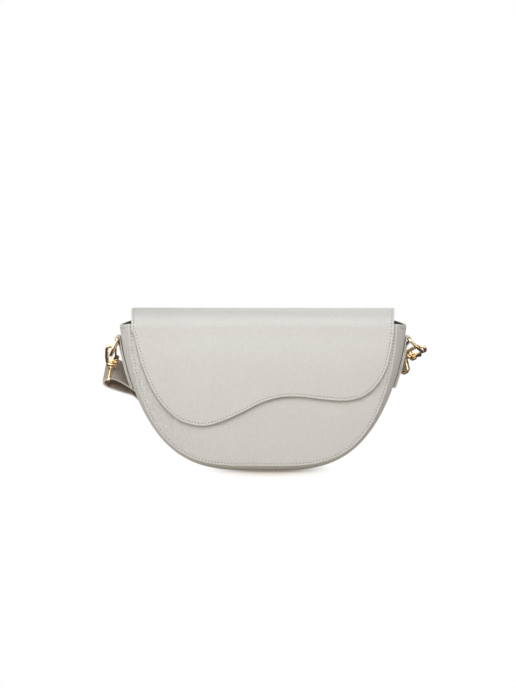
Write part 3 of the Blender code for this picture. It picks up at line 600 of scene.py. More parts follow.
def new_group(name, inputs, outputs):
    """A node group with sockets of (label, kind, default) and (label, kind)."""
    group = bpy.data.node_groups.new(name, "ShaderNodeTree")
    for label, kind, value in inputs:
        socket = group.interface.new_socket(label, in_out="INPUT", socket_type="NodeSocket" + kind)
        if value is not None:
            socket.default_value = value
    for label, kind in outputs:
        group.interface.new_socket(label, in_out="OUTPUT", socket_type="NodeSocket" + kind)
    return group, group.nodes.new("NodeGroupInput").outputs, group.nodes.new("NodeGroupOutput").inputs


def pebble_group():
    """Pebbled grain: domes between the edges of large and small cells, drawn out of true by a slow noise."""
    inputs = [("Vector", "Vector", None), ("Cell size", "Float", 0.001)]
    group, given, out = new_group("Pebbled grain", inputs, [("Height", "Float"), ("Valley shade", "Float")])
    per_metre = calc(group, "DIVIDE", 1.0, given["Cell size"])
    drift = noise(group, given["Vector"], calc(group, "MULTIPLY", per_metre, 0.45), 2.0)["Color"]
    pull = vector(group, "SUBTRACT", drift, (0.5, 0.5, 0.5))
    pull = vector(group, "SCALE", pull, scale=calc(group, "MULTIPLY", given["Cell size"], 1.3))
    moved = vector(group, "ADD", given["Vector"], pull)
    domes = []
    for share, top in ((1.0, 0.28), (2.3, 0.22)):
        scale = calc(group, "MULTIPLY", per_metre, share)
        cells = node(group, "TexVoronoi", {"Vector": moved, "Scale": scale}, feature="DISTANCE_TO_EDGE")
        domes.append(ramp(group, cells.outputs["Distance"], 0.02, top))
    large = calc(group, "MULTIPLY", domes[0], 0.75)
    group.links.new(calc(group, "MULTIPLY_ADD", domes[1], 0.25, large), out["Height"])
    group.links.new(calc(group, "SUBTRACT", 1.0, domes[0]), out["Valley shade"])
    return group


def mottle_group():
    """Slow colour change: the colour times one plus a centred noise times the amount."""
    inputs = [("Vector", "Vector", None), ("Color", "Color", None)]
    inputs += [("Patch size", "Float", 0.02), ("Amount", "Float", 0.1)]
    group, given, out = new_group("Mottling", inputs, [("Color", "Color"), ("Mask", "Float")])
    spots = noise(group, given["Vector"], calc(group, "DIVIDE", 1.0, given["Patch size"]), 5.0)[0]
    gain = calc(group, "MULTIPLY_ADD", calc(group, "SUBTRACT", spots, 0.5), given["Amount"], 1.0)
    group.links.new(vector(group, "SCALE", given["Color"], scale=gain), out["Color"])
    group.links.new(spots, out["Mask"])
    return group


class Finish:
    """A material with its Principled shader's constant numbers set on the sockets themselves."""

    def __init__(self, name, groups, shown, **constants):
        self.material, self.groups = bpy.data.materials.new(name), groups
        self.material.use_nodes = True
        self.material.diffuse_color = (*shown, 1.0)
        self.tree = self.material.node_tree
        self.shader = self.tree.nodes["Principled BSDF"].inputs
        for key, value in constants.items():
            self.shader[key.replace("_", " ")].default_value = value
        self.place = node(self.tree, "TexCoord").outputs["Object"]

    def mottled(self, colour, size, amount):
        """The colour over slow patches of this size, and the patches' mask."""
        inputs = {"Vector": self.place, "Color": (*colour, 1.0), "Patch size": size, "Amount": amount}
        return node(self.tree, "Group", inputs, node_tree=self.groups["mottle"]).outputs

    def link(self, **sockets):
        for key, value in sockets.items():
            self.tree.links.new(value, self.shader[key.replace("_", " ")])

    def bump(self, height):
        """Bump from a height in metres."""
        inputs = {"Strength": 1.0, "Distance": 1.0, "Height": height}
        self.link(Normal=node(self.tree, "Bump", inputs).outputs[0])
        return self.material


def pebbled_leather(name, groups, colour, cell, depth, dark, roughness, creases=0.2):
    """Pebbled leather: grain, creases on the left flank and slow waves in the bump; valleys and creases
    darkened in colour as painted shade; tops a little glossier."""
    made = Finish(name, groups, colour, Specular_IOR_Level=0.42)
    tree, place, dark = made.tree, made.place, (*dark, 1.0)
    body = made.mottled(colour, 0.035, 0.05)["Color"]
    body = mix_colour(tree, 1.0, body, made.mottled((1, 1, 1), 0.0035, 0.06)["Color"], "MULTIPLY")
    pebble = node(tree, "Group", {"Vector": place, "Cell size": cell}, node_tree=groups["pebble"]).outputs
    stretched = node(tree, "Mapping", {"Vector": place, "Scale": (1.0, 1.0, 0.4)}).outputs[0]
    across = node(tree, "SeparateXYZ", {0: place}).outputs["X"]
    flank = ramp(tree, across, -0.05, -0.09, creases * 0.2, creases)
    folded = ramp(tree, noise(tree, stretched, 480.0, 3.0)[0], 0.4, 0.6, flank, 0.0, soft=False)
    # Painted shade: the creases, then the valleys between pebbles, darkened towards the shade colour; the
    # creases' shape is real bump
    body = mix_colour(tree, folded, body, dark)
    body = mix_colour(tree, calc(tree, "MULTIPLY", pebble["Valley shade"], 0.6), body, dark)
    gloss = ramp(tree, pebble["Height"], 0.0, 1.0, roughness + 0.12, roughness - 0.04, soft=False)
    made.link(Base_Color=body, Roughness=gloss)
    waves = calc(tree, "MULTIPLY", noise(tree, place, 34.0, 2.0)[0], 0.0009)
    waves = calc(tree, "MULTIPLY_ADD", folded, -0.0004, waves)
    return made.bump(calc(tree, "MULTIPLY_ADD", pebble["Height"], depth, waves))


def napped(name, groups, colour, nap, depth, roughness, amount, fuzz=2.0):
    """Suede, cloth, thread or paint: a fine fuzzy noise in colour and bump over a slow mottling."""
    made = Finish(name, groups, colour, Sheen_Weight=0.25, Sheen_Roughness=0.5)
    body = made.mottled(colour, 0.012, amount)["Color"]
    grain = noise(made.tree, made.place, 1.0 / nap, 6.0)[0]
    light = calc(made.tree, "MULTIPLY_ADD", grain, amount * fuzz, 1.0 - amount * fuzz / 2)
    rough = ramp(made.tree, grain, 0.0, 1.0, roughness - 0.08, roughness + 0.08, soft=False)
    made.link(Base_Color=vector(made.tree, "SCALE", body, scale=light), Roughness=rough)
    return made.bump(calc(made.tree, "MULTIPLY", grain, depth))


def polished(name, groups, colour, dark, roughness):
    """Plated metal: a slow tint, faint rubbing marks and a gloss that changes over the surface."""
    made = Finish(name, groups, colour, Metallic=1.0)
    body = made.mottled(colour, 0.004, 0.08)
    rubbed = noise(made.tree, made.place, 900.0, 4.0)[0]
    worn = ramp(made.tree, rubbed, 0.56, 0.78, 0.0, 0.35, soft=False)
    rough = ramp(made.tree, body["Mask"], 0.0, 1.0, roughness - 0.04, roughness + 0.06, soft=False)
    made.link(Base_Color=mix_colour(made.tree, worn, body["Color"], (*dark, 1.0)), Roughness=rough)
    return made.bump(calc(made.tree, "MULTIPLY", rubbed, 0.000012))


# Shared shapes


def swell(x, z):
    """How far the panels stand out: 2 mm times (1 - |x / w|^side - drop^power)^0.7, eased off at the top."""
    half, top, bottom, drop_power, side_power = PANEL_SHAPE
    drop = np.clip((top - z) / (top - bottom), 0, 1)
    inside = np.clip(1 - np.abs(x / half) ** side_power - drop**drop_power, 0, 1)
    return PANEL_FULLNESS * inside**PANEL_ROUNDNESS * ease((top - z) / PANEL_FADE)


def panel_place(facing, middle):
    """Turns (x, z, height) into points on an upright sheet that faces the front (-1) or the back (1)."""

    def place(x, z, height):
        return np.stack([x, facing * (middle + height + swell(x, z)), z], axis=-1)

    return place


def flap_path(facing):
    """Half the flap's middle line as (y, z): a superellipse from the crest to the bend, then plumb down."""
    angle = np.linspace(0, math.pi / 2, 1200)
    y = facing * CREST_REACH * np.sin(angle) ** (2 / CREST_POWER) - 0.25 * MM
    z = FOLD_HEIGHT + CREST_RISE * np.cos(angle) ** (2 / CREST_POWER)
    path = in_columns(y, z)
    return joined(path, [[path[-1, 0], FOLD_HEIGHT - 0.1]])


def flap_place(facing, offset):
    """Turns (x, minus the distance from the crest, height) into points on the flap, which is a little wider
    over its crest and full in front like the panel below."""
    path = even(flap_path(facing), 1500)
    run = travel(path)
    way = unit(np.gradient(path, axis=0))
    normal = in_columns(-facing * way[:, 1], facing * way[:, 0])
    depths, wider = (-0.0352, 0.0, 0.0347), (-0.7 * MM, 1.9 * MM, 0.0)

    def place(x, b, height):
        y, z, ny, nz = (np.interp(-b, run, column) for column in (*path.T, *normal.T))
        y, z = y + ny * (height + offset), z + nz * (height + offset)
        x = x * (1 + np.interp(y, depths, wider) / FLAP_HALF)
        if facing < 0:
            below_fold = ease((FOLD_HEIGHT + 0.004 - z) / 0.02)
            y = y - swell(x, z) * below_fold * FLAP_FULLNESS
        return np.stack([x, y, z], axis=-1)

    return place


def flap_outline(facing, inset=0.0):
    """The flap's edge: from the crest down the left, along its foot, up the right, as (x, minus distance)."""
    bend = float(travel(flap_path(facing))[-2])
    if facing < 0:
        foot = through(FLAP_FOOT, 12) * (FLAP_HALF, -FLAP_DROP) - (0, bend)
    else:
        foot = rounded_foot(FLAP_HALF, -bend - ANCHOR_HEIGHT, ANCHOR_CORNER, 30)
    outline = even(joined([(-FLAP_HALF, 0)], foot, [(FLAP_HALF, 0)]), 1200)
    return outline - mitred(outline, closed=False) * inset if inset else outline


def gusset_side_at(height):
    """Half the gusset's width at a height, at mid depth: w (1 - drop^a)^(1/b)."""
    half, top, bottom, drop_power, side_power = GUSSET_SHAPE
    return half * (1 - ((top - height) / (top - bottom)) ** drop_power) ** (1 / side_power)


def gusset_grid(steps, depth, below):
    """The gusset's surface at these depths, or one below it: panel edge + (bowed edge - panel edge)
    (1 - |depth / end|^2.5), held above the ground."""
    edge, bowed = half_moon(PANEL_SHAPE, steps), half_moon(GUSSET_SHAPE, steps)
    bow = 1 - np.abs(depth / GUSSET_END) ** GUSSET_BOW
    way = unit(np.gradient(bowed, axis=0))
    inward = in_columns(-way[:, 1], way[:, 0])
    flat = edge[:, None] + (bowed - edge)[:, None] * bow[None, :, None] + inward[:, None] * below
    depth = np.broadcast_to(depth[None, :], flat.shape[:2])
    return np.stack([flat[..., 0], depth, np.maximum(flat[..., 1], below)], axis=-1)


def across_depth(end, columns):
    """Depths from -end to end, closer together at the ends: end times the sine of an angle."""
    return end * np.sin(np.linspace(-math.pi / 2, math.pi / 2, columns))


def turn_matrix(degrees, axis):
    return Matrix.Rotation(math.radians(degrees), 4, axis)


def ring_matrix(side):
    """At the ring's bar, -Z pointing the way the ring hangs."""
    off = gusset_side_at(RING_HEIGHT) + GAP + TAB_WALL + GAP + RING_RADIUS
    place = Matrix.Translation((side["sign"] * off, 0, RING_HEIGHT))
    return place @ turn_matrix(-side["sign"] * side["tilt"], "Y")


def clip_matrix(side):
    """On the clip's swivel, Z up the hook towards the ring it hangs on."""
    drop = RING_LEG + math.sqrt(RING_HALF**2 - side["touch"] ** 2)
    touch = ring_matrix(side) @ Vector((0, side["touch"], -drop))
    turn = turn_matrix(side["turn"], "Y") @ turn_matrix(side["lean"], "X") @ turn_matrix(side["roll"], "Z")
    origin = touch - turn.to_3x3() @ Vector((side["beside"], 0, side["reach"]))
    return Matrix.Translation(origin) @ turn


def eye_matrix(side):
    return clip_matrix(side) @ turn_matrix(side["eye"], "Z")


def loop_matrix(side):
    """On the eye's bar, -Z along the strap's tail."""
    return eye_matrix(side) @ Matrix.Translation((0, 0, -EYE_BAR)) @ turn_matrix(-side["loop"], "Y")


def strap_route():
    """The main strap's centre line from the left tail to the right one, and the way its width lies: down
    behind the bag, to and fro on its edge on the ground, and up again."""

    def end_of(name):
        side = SIDES[name]
        frame_of_loop = loop_matrix(side)
        axes, place = np.array(frame_of_loop.to_3x3()), np.array(frame_of_loop @ Vector((0, 0, -LOOP_TAIL)))
        return place, -axes[:, 2], axes[:, 1], side["loop_side"] * LOOPS[name][-1][1] * MM * axes[:, 0]

    start, leave, left_across, left_shift = end_of("left")
    end, arrive, right_across, right_shift = end_of("right")
    ground, first = STRAP_WIDTH / 2, BACK + STORE_GAP
    last = first + STORE_TURNS * STORE_PITCH
    landing = (STORE_HALF - 0.07, first, ground), (STORE_HALF, first, ground)
    parts = [bezier(start, start + leave * 0.03, *landing, 120)]
    for turn in range(STORE_TURNS):
        way = 1 if turn % 2 == 0 else -1
        bend = arc((0, first + (turn + 0.5) * STORE_PITCH), STORE_PITCH / 2, -90, 90, 24) * (way, 1)
        parts.append(np.column_stack([bend + (way * STORE_HALF, 0), np.full(len(bend), ground)]))
    rising = (-STORE_HALF, last, ground), (0.075 - STORE_HALF, last, ground)
    up = bezier(*rising, end + arrive * 0.035, end, 120)
    path = joined(*parts, up[1:])
    keep = joined([True], np.linalg.norm(np.diff(path, axis=0), axis=1) > 1e-6)
    path = even(path[keep], 460)
    run = travel(path)
    across = np.zeros_like(path)
    across[:, 2] = 1
    both = (left_across, left_shift, run), (right_across, right_shift, run[-1] - run)
    for ends, shift, from_end in both:
        near = (1 - ease(from_end / 0.03))[:, None]
        across = across * (1 - near) + ends * near
        path = path + shift * (1 - ease(from_end / 0.04))[:, None]
    return path, across


# Settings


def colour(name, description, default):
    return FloatVectorProperty(
        name=name, description=description, subtype="COLOR", min=0, max=1, default=default
    )


def number(name, description, default, subtype="NONE", **limits):
    return FloatProperty(name=name, description=description, default=default, subtype=subtype, **limits)


class LeatherSettings(bpy.types.PropertyGroup):
    leather: colour("Leather", "Colour of the grain side", (0.715, 0.715, 0.70))
    # Painted shade: the colour that the valleys between the pebbles and the creases are darkened towards
    valley_shade: colour("Valleys", "Colour between the pebbles", (0.585, 0.58, 0.56))
    # Darker and warmer than the bag's leather: painted shade, as the strap lies behind the bag
    strap: colour("Strap", "Colour of the strap's grain side", (0.43, 0.395, 0.347))
    edge: colour("Edge paint", "Colour of the cut edges", (0.71, 0.70, 0.665))
    thread: colour("Thread", "Colour of the stitching", (0.68, 0.67, 0.64))
    suede: colour("Suede", "Colour of the lining and the strap's inside", (0.33, 0.28, 0.23))
    grain_size: number("Grain size", "Width of one pebble", 1.15 * MM, "DISTANCE", min=0.1 * MM)
    grain_depth: number("Grain depth", "Depth of the valleys", 0.11 * MM, "DISTANCE", min=0)
    roughness: number("Roughness", "Roughness of the leather's tops", 0.5, "FACTOR", min=0, max=1)
    stitch_pitch: number("Stitch pitch", "From one stitch to the next", 3.0 * MM, "DISTANCE", min=MM)
    stitch_length: number("Stitch length", "Length of one stitch", 1.9 * MM, "DISTANCE", min=0.5 * MM)
    thread_radius: number("Thread radius", "Half the thread's thickness", 0.3 * MM, "DISTANCE", min=0.05 * MM)
    seam: number("Seam", "From a cut edge to its stitch line", 2.2 * MM, "DISTANCE", min=MM)


class HardwareSettings(bpy.types.PropertyGroup):
    gold: colour("Gold", "Colour of the plating", (0.95, 0.76, 0.50))
    rubbed: colour("Rubbed", "Colour of rubbed marks", (0.52, 0.34, 0.15))
    roughness: number("Roughness", "Roughness of the plating", 0.12, "FACTOR", min=0, max=1)


class StudioSettings(bpy.types.PropertyGroup):
    distance: number("Distance", "Camera to the front of the bag", 1.6, "DISTANCE", min=0.3)
    azimuth: number("Azimuth", "Camera's turn round the bag", math.radians(0.8), "ANGLE")
    elevation: number("Elevation", "Camera's height as an angle", math.radians(4.5), "ANGLE")
    view_height: number("View height", "Height of the picture at the bag", 0.62608, "DISTANCE", min=0.1)
    key: number("Key light", "Power of the lamp above the front", 3.75, unit="POWER", min=0)
    side: number("Side light", "Power of the lamps at the sides", 4.4, unit="POWER", min=0)
    ambient: number("Ambient", "Strength of the white room", 0.22, min=0)


# Pieces of the bag

SEWN = ("leather", "edge", "flesh", "thread", "hole")
SEWN_GRAINED = ("grained_leather", *SEWN[1:])
SEWN_SHADED_STRAP = ("strap_leather", *SEWN[1:])
SEWN_LINING = ("lining", "lining", "lining", "dark_thread", "hole")
FACINGS = (("front", -1), ("back", 1))


def sew(skin, outline, height, look, place, closed, facing=1):
    """The stitch line inside an outline, on the sheet's face (1) or its underside (-1)."""
    lift = look.thread_radius * 0.45 * facing
    path, normals = seam_line(outline, look.seam, height + lift, place, closed)
    stitches(skin, path, normals * facing, look)


def sewn_sheet(skin, outline, size, wall, look, place, open_top=False, inner=False):
    """A cut sheet with its stitch line; an inner one has a second line on its underside."""
    groove = 0.28 * MM
    profile = cut_profile(look.seam + 3 * MM, wall, look.seam, groove, min(0.45 * MM, wall * 0.3))
    skin.add(*cut_sheet(outline, *size, profile, place, open_top))
    sew(skin, outline, wall / 2 - groove, look, place, not open_top)
    if inner:
        sew(skin, outline, -wall / 2, look, place, not open_top, -1)


def put_together(name, finishes, slot, parts, **rides):
    """A piece of (shape, matrix) parts. A shape is points, faces and, where there are several, finishes."""
    skin = Skin()
    for shape, matrix in parts:
        skin.add(*shape, matrix=matrix)
    skin.make(name, finishes, slot, **rides)


def gold_piece(name, body, nodes, *parts):
    put_together(name, ("gold",), "gold_metal", parts, body=body, replaces=nodes)


class BAG_OT_finishes(bpy.types.Operator):
    """Makes the materials: pebbled leather, suede, edge paint, thread and plated metal"""

    bl_idname = "bag.finishes"
    bl_label = "Finishes"

    def execute(self, context):
        look, metal = context.scene.bag_leather, context.scene.bag_hardware
        groups = {"pebble": pebble_group(), "mottle": mottle_group()}
        size, depth, rough = look.grain_size, look.grain_depth, look.roughness
        dark_suede = [0.28 * part for part in look.suede]
        shaded_strap_valley = [0.8 * part for part in look.strap]
        whole = (groups, look.leather, size, depth, look.valley_shade, rough)
        FINISHES.update(
            leather=pebbled_leather("Pebbled leather", *whole),
            # The strap's leather: the bag's grain on the darker strap colour, painted shade for the strap
            # behind the bag
            strap_leather=pebbled_leather(
                "Strap leather in painted shade", groups, look.strap, size * 0.8, depth * 0.7, shaded_strap_valley, rough
            ),
            grained_leather=pebbled_leather("Milled leather", *whole, creases=0.8),
            # Numbers of the napped ones: width and depth of the nap, roughness, change of colour
            edge=napped("Edge paint", groups, look.edge, 0.0012, 0.00004, 0.5, 0.04),
            thread=napped("Thread", groups, look.thread, 0.0003, 0.00004, 0.7, 0.08),
            dark_thread=napped("Dark thread", groups, look.suede, 0.0003, 0.00004, 0.7, 0.08),
            # Needle holes: the dark colour of the discs that stand for the shade in each hole, painted shade
            hole=napped("Needle hole shade", groups, (0.10, 0.09, 0.075), 0.0005, 0.00002, 0.8, 0.1),
            flesh=napped("Flesh side", groups, look.suede, 0.0013, 0.00014, 0.85, 0.2, fuzz=9.0),
            lining=napped("Suede lining", groups, dark_suede, 0.0009, 0.00006, 0.9, 0.14),
            gold=polished("Gold plating", groups, metal.gold, metal.rubbed, metal.roughness),
            steel=polished("Spring steel", groups, (0.55, 0.55, 0.53), (0.3, 0.29, 0.27), 0.28),
            nickel=polished("Magnet nickel", groups, (0.62, 0.60, 0.56), (0.36, 0.34, 0.3), 0.24),
        )
        return {"FINISHED"}


class BAG_OT_panels(bpy.types.Operator):
    """Builds the front and back panels, sewn all round and slightly full"""

    bl_idname = "bag.panels"
    bl_label = "Panels"

    def execute(self, context):
        outline = half_moon(PANEL_SHAPE, OUTLINE_STEPS)
        for name, facing in FACINGS:
            skin, place = Skin(), panel_place(facing, BACK - WALL / 2)
            sewn_sheet(skin, outline, (80, 130), WALL, context.scene.bag_leather, place)
            nodes = (f"{name}_panel",)
            skin.make(f"{name}_panel_leather", SEWN_GRAINED, "leather_outside", "root", replaces=nodes)
        return {"FINISHED"}


class BAG_OT_gusset(bpy.types.Operator):
    """Builds the gusset, bowed out between the panels, with a hem sewn across each of its ends"""

    bl_idname = "bag.gusset"
    bl_label = "Gusset"

    def execute(self, context):
        skin = Skin()
        depth = across_depth(GUSSET_END, 56)
        skin.add(*thick_grid(gusset_grid(260, depth, 0), gusset_grid(260, depth, WALL), 0.35 * MM))
        depth, middle, hem = np.linspace(-0.94, 0.94, 120) * GUSSET_END, 60, 3.0 * MM
        low, high = gusset_grid(2000, depth, -0.12 * MM), gusset_grid(2000, depth, -MM)
        row = int(round(hem / np.linalg.norm(low[1, middle] - low[0, middle])))
        for at in (row, -1 - row):
            stitches(skin, low[at], unit(high[at] - low[at]), context.scene.bag_leather)
        skin.make("gusset_leather", SEWN_GRAINED, "leather_outside", "root", replaces=("gusset",))
        return {"FINISHED"}


class BAG_OT_lining(bpy.types.Operator):
    """Builds the dark inside: lined boards in front and behind, the gusset's lining and the slip pocket"""

    bl_idname = "bag.lining"
    bl_label = "Lining"

    def execute(self, context):
        look = context.scene.bag_leather
        board, inset = 1.7 * MM, 2.1 * MM
        outline = half_moon(PANEL_SHAPE, OUTLINE_STEPS)
        outline = outline - mitred(outline, closed=False) * inset
        profile = cut_profile(4 * MM, board, look.seam, 0.1 * MM, 0.5 * MM)

        def lined(name, nodes, shape):
            put_together(name, SEWN_LINING, "lining", [(shape, None)], body="root", replaces=nodes)

        for name, facing in FACINGS:
            place = panel_place(facing, BACK - WALL - 0.3 * MM - board / 2)
            nodes = (f"{name}_lining", f"{name}_stiffener")
            lined(f"{name}_lined_board", nodes, cut_sheet(outline, 50, 80, profile, place))
        depth = across_depth(LINING_END, 40)
        outer, inner = (gusset_grid(200, depth, below) for below in (inset, 2.7 * MM))
        lined("gusset_inside", ("gusset_lining",), thick_grid(outer, inner, 0.15 * MM))
        skin = Skin()
        half, top, foot, corner, pocket_depth = 0.06, 0.107, 0.037, 0.008, 0.02825
        pocket = joined([(-half, top)], rounded_foot(half, foot, corner, 16), [(half, top)])

        def place(x, z, height):
            return np.stack([x, pocket_depth - height + swell(x, z), z], axis=-1)

        sewn_sheet(skin, pocket, (40, 60), 1.1 * MM, look, place)
        skin.make("slip_pocket", SEWN_LINING, "lining", "root", replaces=("inner_pocket",))
        return {"FINISHED"}


class BAG_OT_flap(bpy.types.Operator):
    """Builds the flap over the bag, leather outside and lining inside, in a back half and a front half"""

    bl_idname = "bag.flap"
    bl_label = "Flap"

    def execute(self, context):
        back = {"blend": ("root", "flap_top", (0, 0.036, 0.127), (0, 0.036, 0.137))}
        front = {"blend": ("flap_top", "flap_front", (0, -0.0366, 0.137), (0, -0.0366, 0.127))}
        look, over, under = context.scene.bag_leather, (0, 0.65 * MM), (0.4 * MM, -0.74 * MM)
        parts = (
            ("flap_front_leather", -1, *over, 1.5 * MM, (90, 130), front, ("flap_front", "flap_crown")),
            ("flap_front_inside", -1, *under, 1.2 * MM, (70, 100), front, ("flap_lining",)),
            ("flap_back_leather", 1, *over, 1.5 * MM, (60, 100), back, ("flap_anchor",)),
            ("flap_back_inside", 1, *under, 1.0 * MM, (50, 80), back, ()),
        )
        for name, facing, inset, offset, wall, size, bends, nodes in parts:
            skin, inner = Skin(), offset < 0
            outline, place = flap_outline(facing, inset), flap_place(facing, offset)
            sewn_sheet(skin, outline, size, wall, look, place, open_top=True, inner=inner)
            finishes, slot = (SEWN_LINING, "lining") if inner else (SEWN, "leather_outside")
            skin.make(name, finishes, slot, replaces=nodes, **bends)
        return {"FINISHED"}


class BAG_OT_magnets(bpy.types.Operator):
    """Builds the two discs of the magnetic closure, face to face behind the flap"""

    bl_idname = "bag.magnets"
    bl_label = "Magnets"

    def execute(self, context):
        height, radius, thick, flap_inside = 0.088, 7.2 * MM, 1.5 * MM, 0.0339
        full = float(swell(np.zeros(1), np.full(1, height))[0])
        face = [(0, 0), (radius, 0), (radius, 1.2 * MM), (radius - 0.5 * MM, 1.7 * MM)]
        face += [(radius - 1.4 * MM, 1.75 * MM), (radius - 1.7 * MM, 1.55 * MM)]
        face += [(1.2 * MM, thick), (0, thick)]
        places = (
            ("body", "root", -BACK - full + thick, 90),
            ("flap", "flap_front", -flap_inside - full * FLAP_FULLNESS - thick, -90),
        )
        for name, body, depth, turn in places:
            parts = [(turned(face, 48), Matrix.Translation((0, depth, height)) @ turn_matrix(turn, "X"))]
            rides = {"body": body, "replaces": (f"{name}_magnet",), "sharp": 30}
            put_together(f"{name}_magnet_disc", ("nickel",), "magnet_plate", parts, **rides)
        return {"FINISHED"}


class BAG_OT_tabs(bpy.types.Operator):
    """Builds the side tabs, a sewn strip folded over each ring's bar"""

    bl_idname = "bag.tabs"
    bl_label = "Side tabs"

    def execute(self, context):
        edge, seam, groove, closed = 0.4 * MM, 2.0 * MM, 0.24 * MM, 0.02 * MM
        shoulder, parting, fade = 0.0065, 0.018, 0.01
        heights = np.linspace(TAB_FOOT, RING_HEIGHT - shoulder, 40)
        inner = gusset_side_at(heights) + GAP + TAB_WALL / 2
        outer = inner + TAB_WALL + closed + (GAP - closed) * ease((heights - RING_HEIGHT + parting) / fade)
        bar = gusset_side_at(RING_HEIGHT) + TAB_WALL + 2 * GAP + RING_RADIUS
        over = arc((bar, RING_HEIGHT), RING_RADIUS + GAP + TAB_WALL / 2, -30, 180, 40)[::-1]
        path = joined(in_columns(inner, heights), over, in_columns(outer, heights)[::-1])
        path = even(path, 180)
        section = band_section(TAB_WIDTH, TAB_WALL, edge, seam, groove)
        half, count = TAB_WIDTH / 2 - seam, len(path)
        # Stitches go down the outer layer at both sides and across it at its foot and below the ring
        lower, ends = slice(int(count * 0.56), count - 4), (count - 6, int(count * 0.66))
        for name, side in SIDES.items():
            centres = in_columns(side["sign"] * path[:, 0], np.zeros(count), path[:, 1])
            across = np.array([0.0, -side["sign"], 0.0])
            skin = Skin()
            band, normal = ribbon(centres, across, section)
            add_rows(skin, band, section, TAB_WALL, edge)
            face = centres + normal * (TAB_WALL / 2 - groove)
            spread = np.linspace(-1, 1, 30)[:, None] * half * across
            rows = [(face[lower] + across * way * half, normal[lower]) for way in (-1, 1)]
            rows += [(face[at] + spread, np.broadcast_to(normal[at], (30, 3))) for at in ends]
            for line, up in rows:
                stitches(skin, line, up, context.scene.bag_leather)
            skin.make(f"{name}_tab_leather", SEWN, "leather_outside", "root", replaces=(f"{name}_tab",))
        return {"FINISHED"}


class BAG_OT_rings(bpy.types.Operator):
    """Builds the D-rings, each a closed wire with a straight bar"""

    bl_idname = "bag.rings"
    bl_label = "Rings"

    def execute(self, context):
        half, corner = RING_HALF, RING_CORNER
        first = arc((half - corner, -corner), corner, 90, 0, 12)
        bow = arc((0, -RING_LEG), half, 0, -180, 60)
        last = arc((corner - half, -corner), corner, 180, 90, 12)
        shape = wire(joined(first, bow, last), 180, RING_RADIUS)
        for name, side in SIDES.items():
            gold_piece(f"{name}_ring_wire", f"{name}_ring", (f"{name}_d_ring",), (shape, ring_matrix(side)))
        return {"FINISHED"}


class BAG_OT_clips(bpy.types.Operator):
    """Builds the snap clips: barrel, bent arm, cheeks, sprung lever and pin heads, and gives the pin and the
    leaf spring their metals
    """

    bl_idname = "bag.clips"
    bl_label = "Snap clips"

    def execute(self, context):
        barrel = [(0, -1.5), (2.9, -1.5), (3.3, -1.35), (3.45, -1.0), (3.45, 0.1), (3.15, 0.35), (3.15, 0.75)]
        barrel += [(3.5, 1.0), (3.8, 2.4), (3.8, 3.7), (3.65, 4.15), (3.2, 4.4), (2.2, 4.5), (0, 4.5)]
        foot = [(-2.6, 1.6), (-3.1, 4.0), (-3.75, 7.0), (-4.1, 11.0), (-4.15, 16.0)]
        bend = arc((0, 22), 4, 175, 0, 12)
        arm = even(through(joined(foot, bend, [(4.0, 20.4)]) * MM, 12), 110)
        share = np.linspace(0, 1, len(arm))
        radius = (1.62 + 0.25 * (1 - ease(share / 0.25)) - 0.3 * ease((share - 0.82) / 0.18)) * MM
        arm = tube(in_columns(arm[:, 0], np.zeros(len(arm)), arm[:, 1]), radius, sides=24)
        lug = arc(np.array(PIVOT) / MM, 2.2, -25, 165, 24)
        cheek = joined([(1.5, 0.3), (6.4, 0.3), (6.85, 0.9)], lug, [(1.5, 4.3)]) * MM
        hub, tip = arc((0, 0), 1.7, 150, 375, 24), 14.2
        spine = [(1.75, 3.2), (1.85, 4.4), (2.55, 5.4), (2.8, 6.2), (2.6, 7.0), (1.5, 8.0), (0.3, 9.2)]
        lever = joined(hub, spine, [(0.0, 11.0), (0.0, tip), (-1.5, tip), (-1.5, 9.0), (-1.8, 3.5)]) * MM
        head = np.array([(0, -0.95), (0.8, -0.9), (1.25, -0.6), (1.35, 0.0), (0.75, 0.05), (0, 0.05)]) * MM
        inside, outside = 1.2 * MM, 2.6 * MM
        cheeks = slab(cheek, -outside, -inside), slab(cheek, inside, outside)
        solid = [turned(np.array(barrel) * MM, 56), arm, *cheeks]
        for name, side in SIDES.items():
            body, gate = f"{name}_hook", f"{name}_gate"
            hook = clip_matrix(side)
            pivot = hook @ Matrix.Translation((PIVOT[0], 0, PIVOT[1]))
            gold_piece(f"{name}_hook_body", body, (body,), *((shape, hook) for shape in solid))
            gold_piece(f"{name}_gate_lever", gate, (gate,), (slab(lever, -0.9 * MM, 0.9 * MM), pivot))
            heads = []
            for way in (1, -1):
                out = pivot @ Matrix.Translation((0, way * outside, 0)) @ turn_matrix(way * 90, "X")
                heads.append((turned(head, 24), out))
            gold_piece(f"{name}_pin_heads", body, (), *heads)
            for part, finish in (("gate_pin", "gold"), ("gate_spring", "steel")):
                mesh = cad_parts[f"{name}_{part}"].data
                mesh.materials.clear()
                mesh.materials.append(FINISHES[finish])
        return {"FINISHED"}


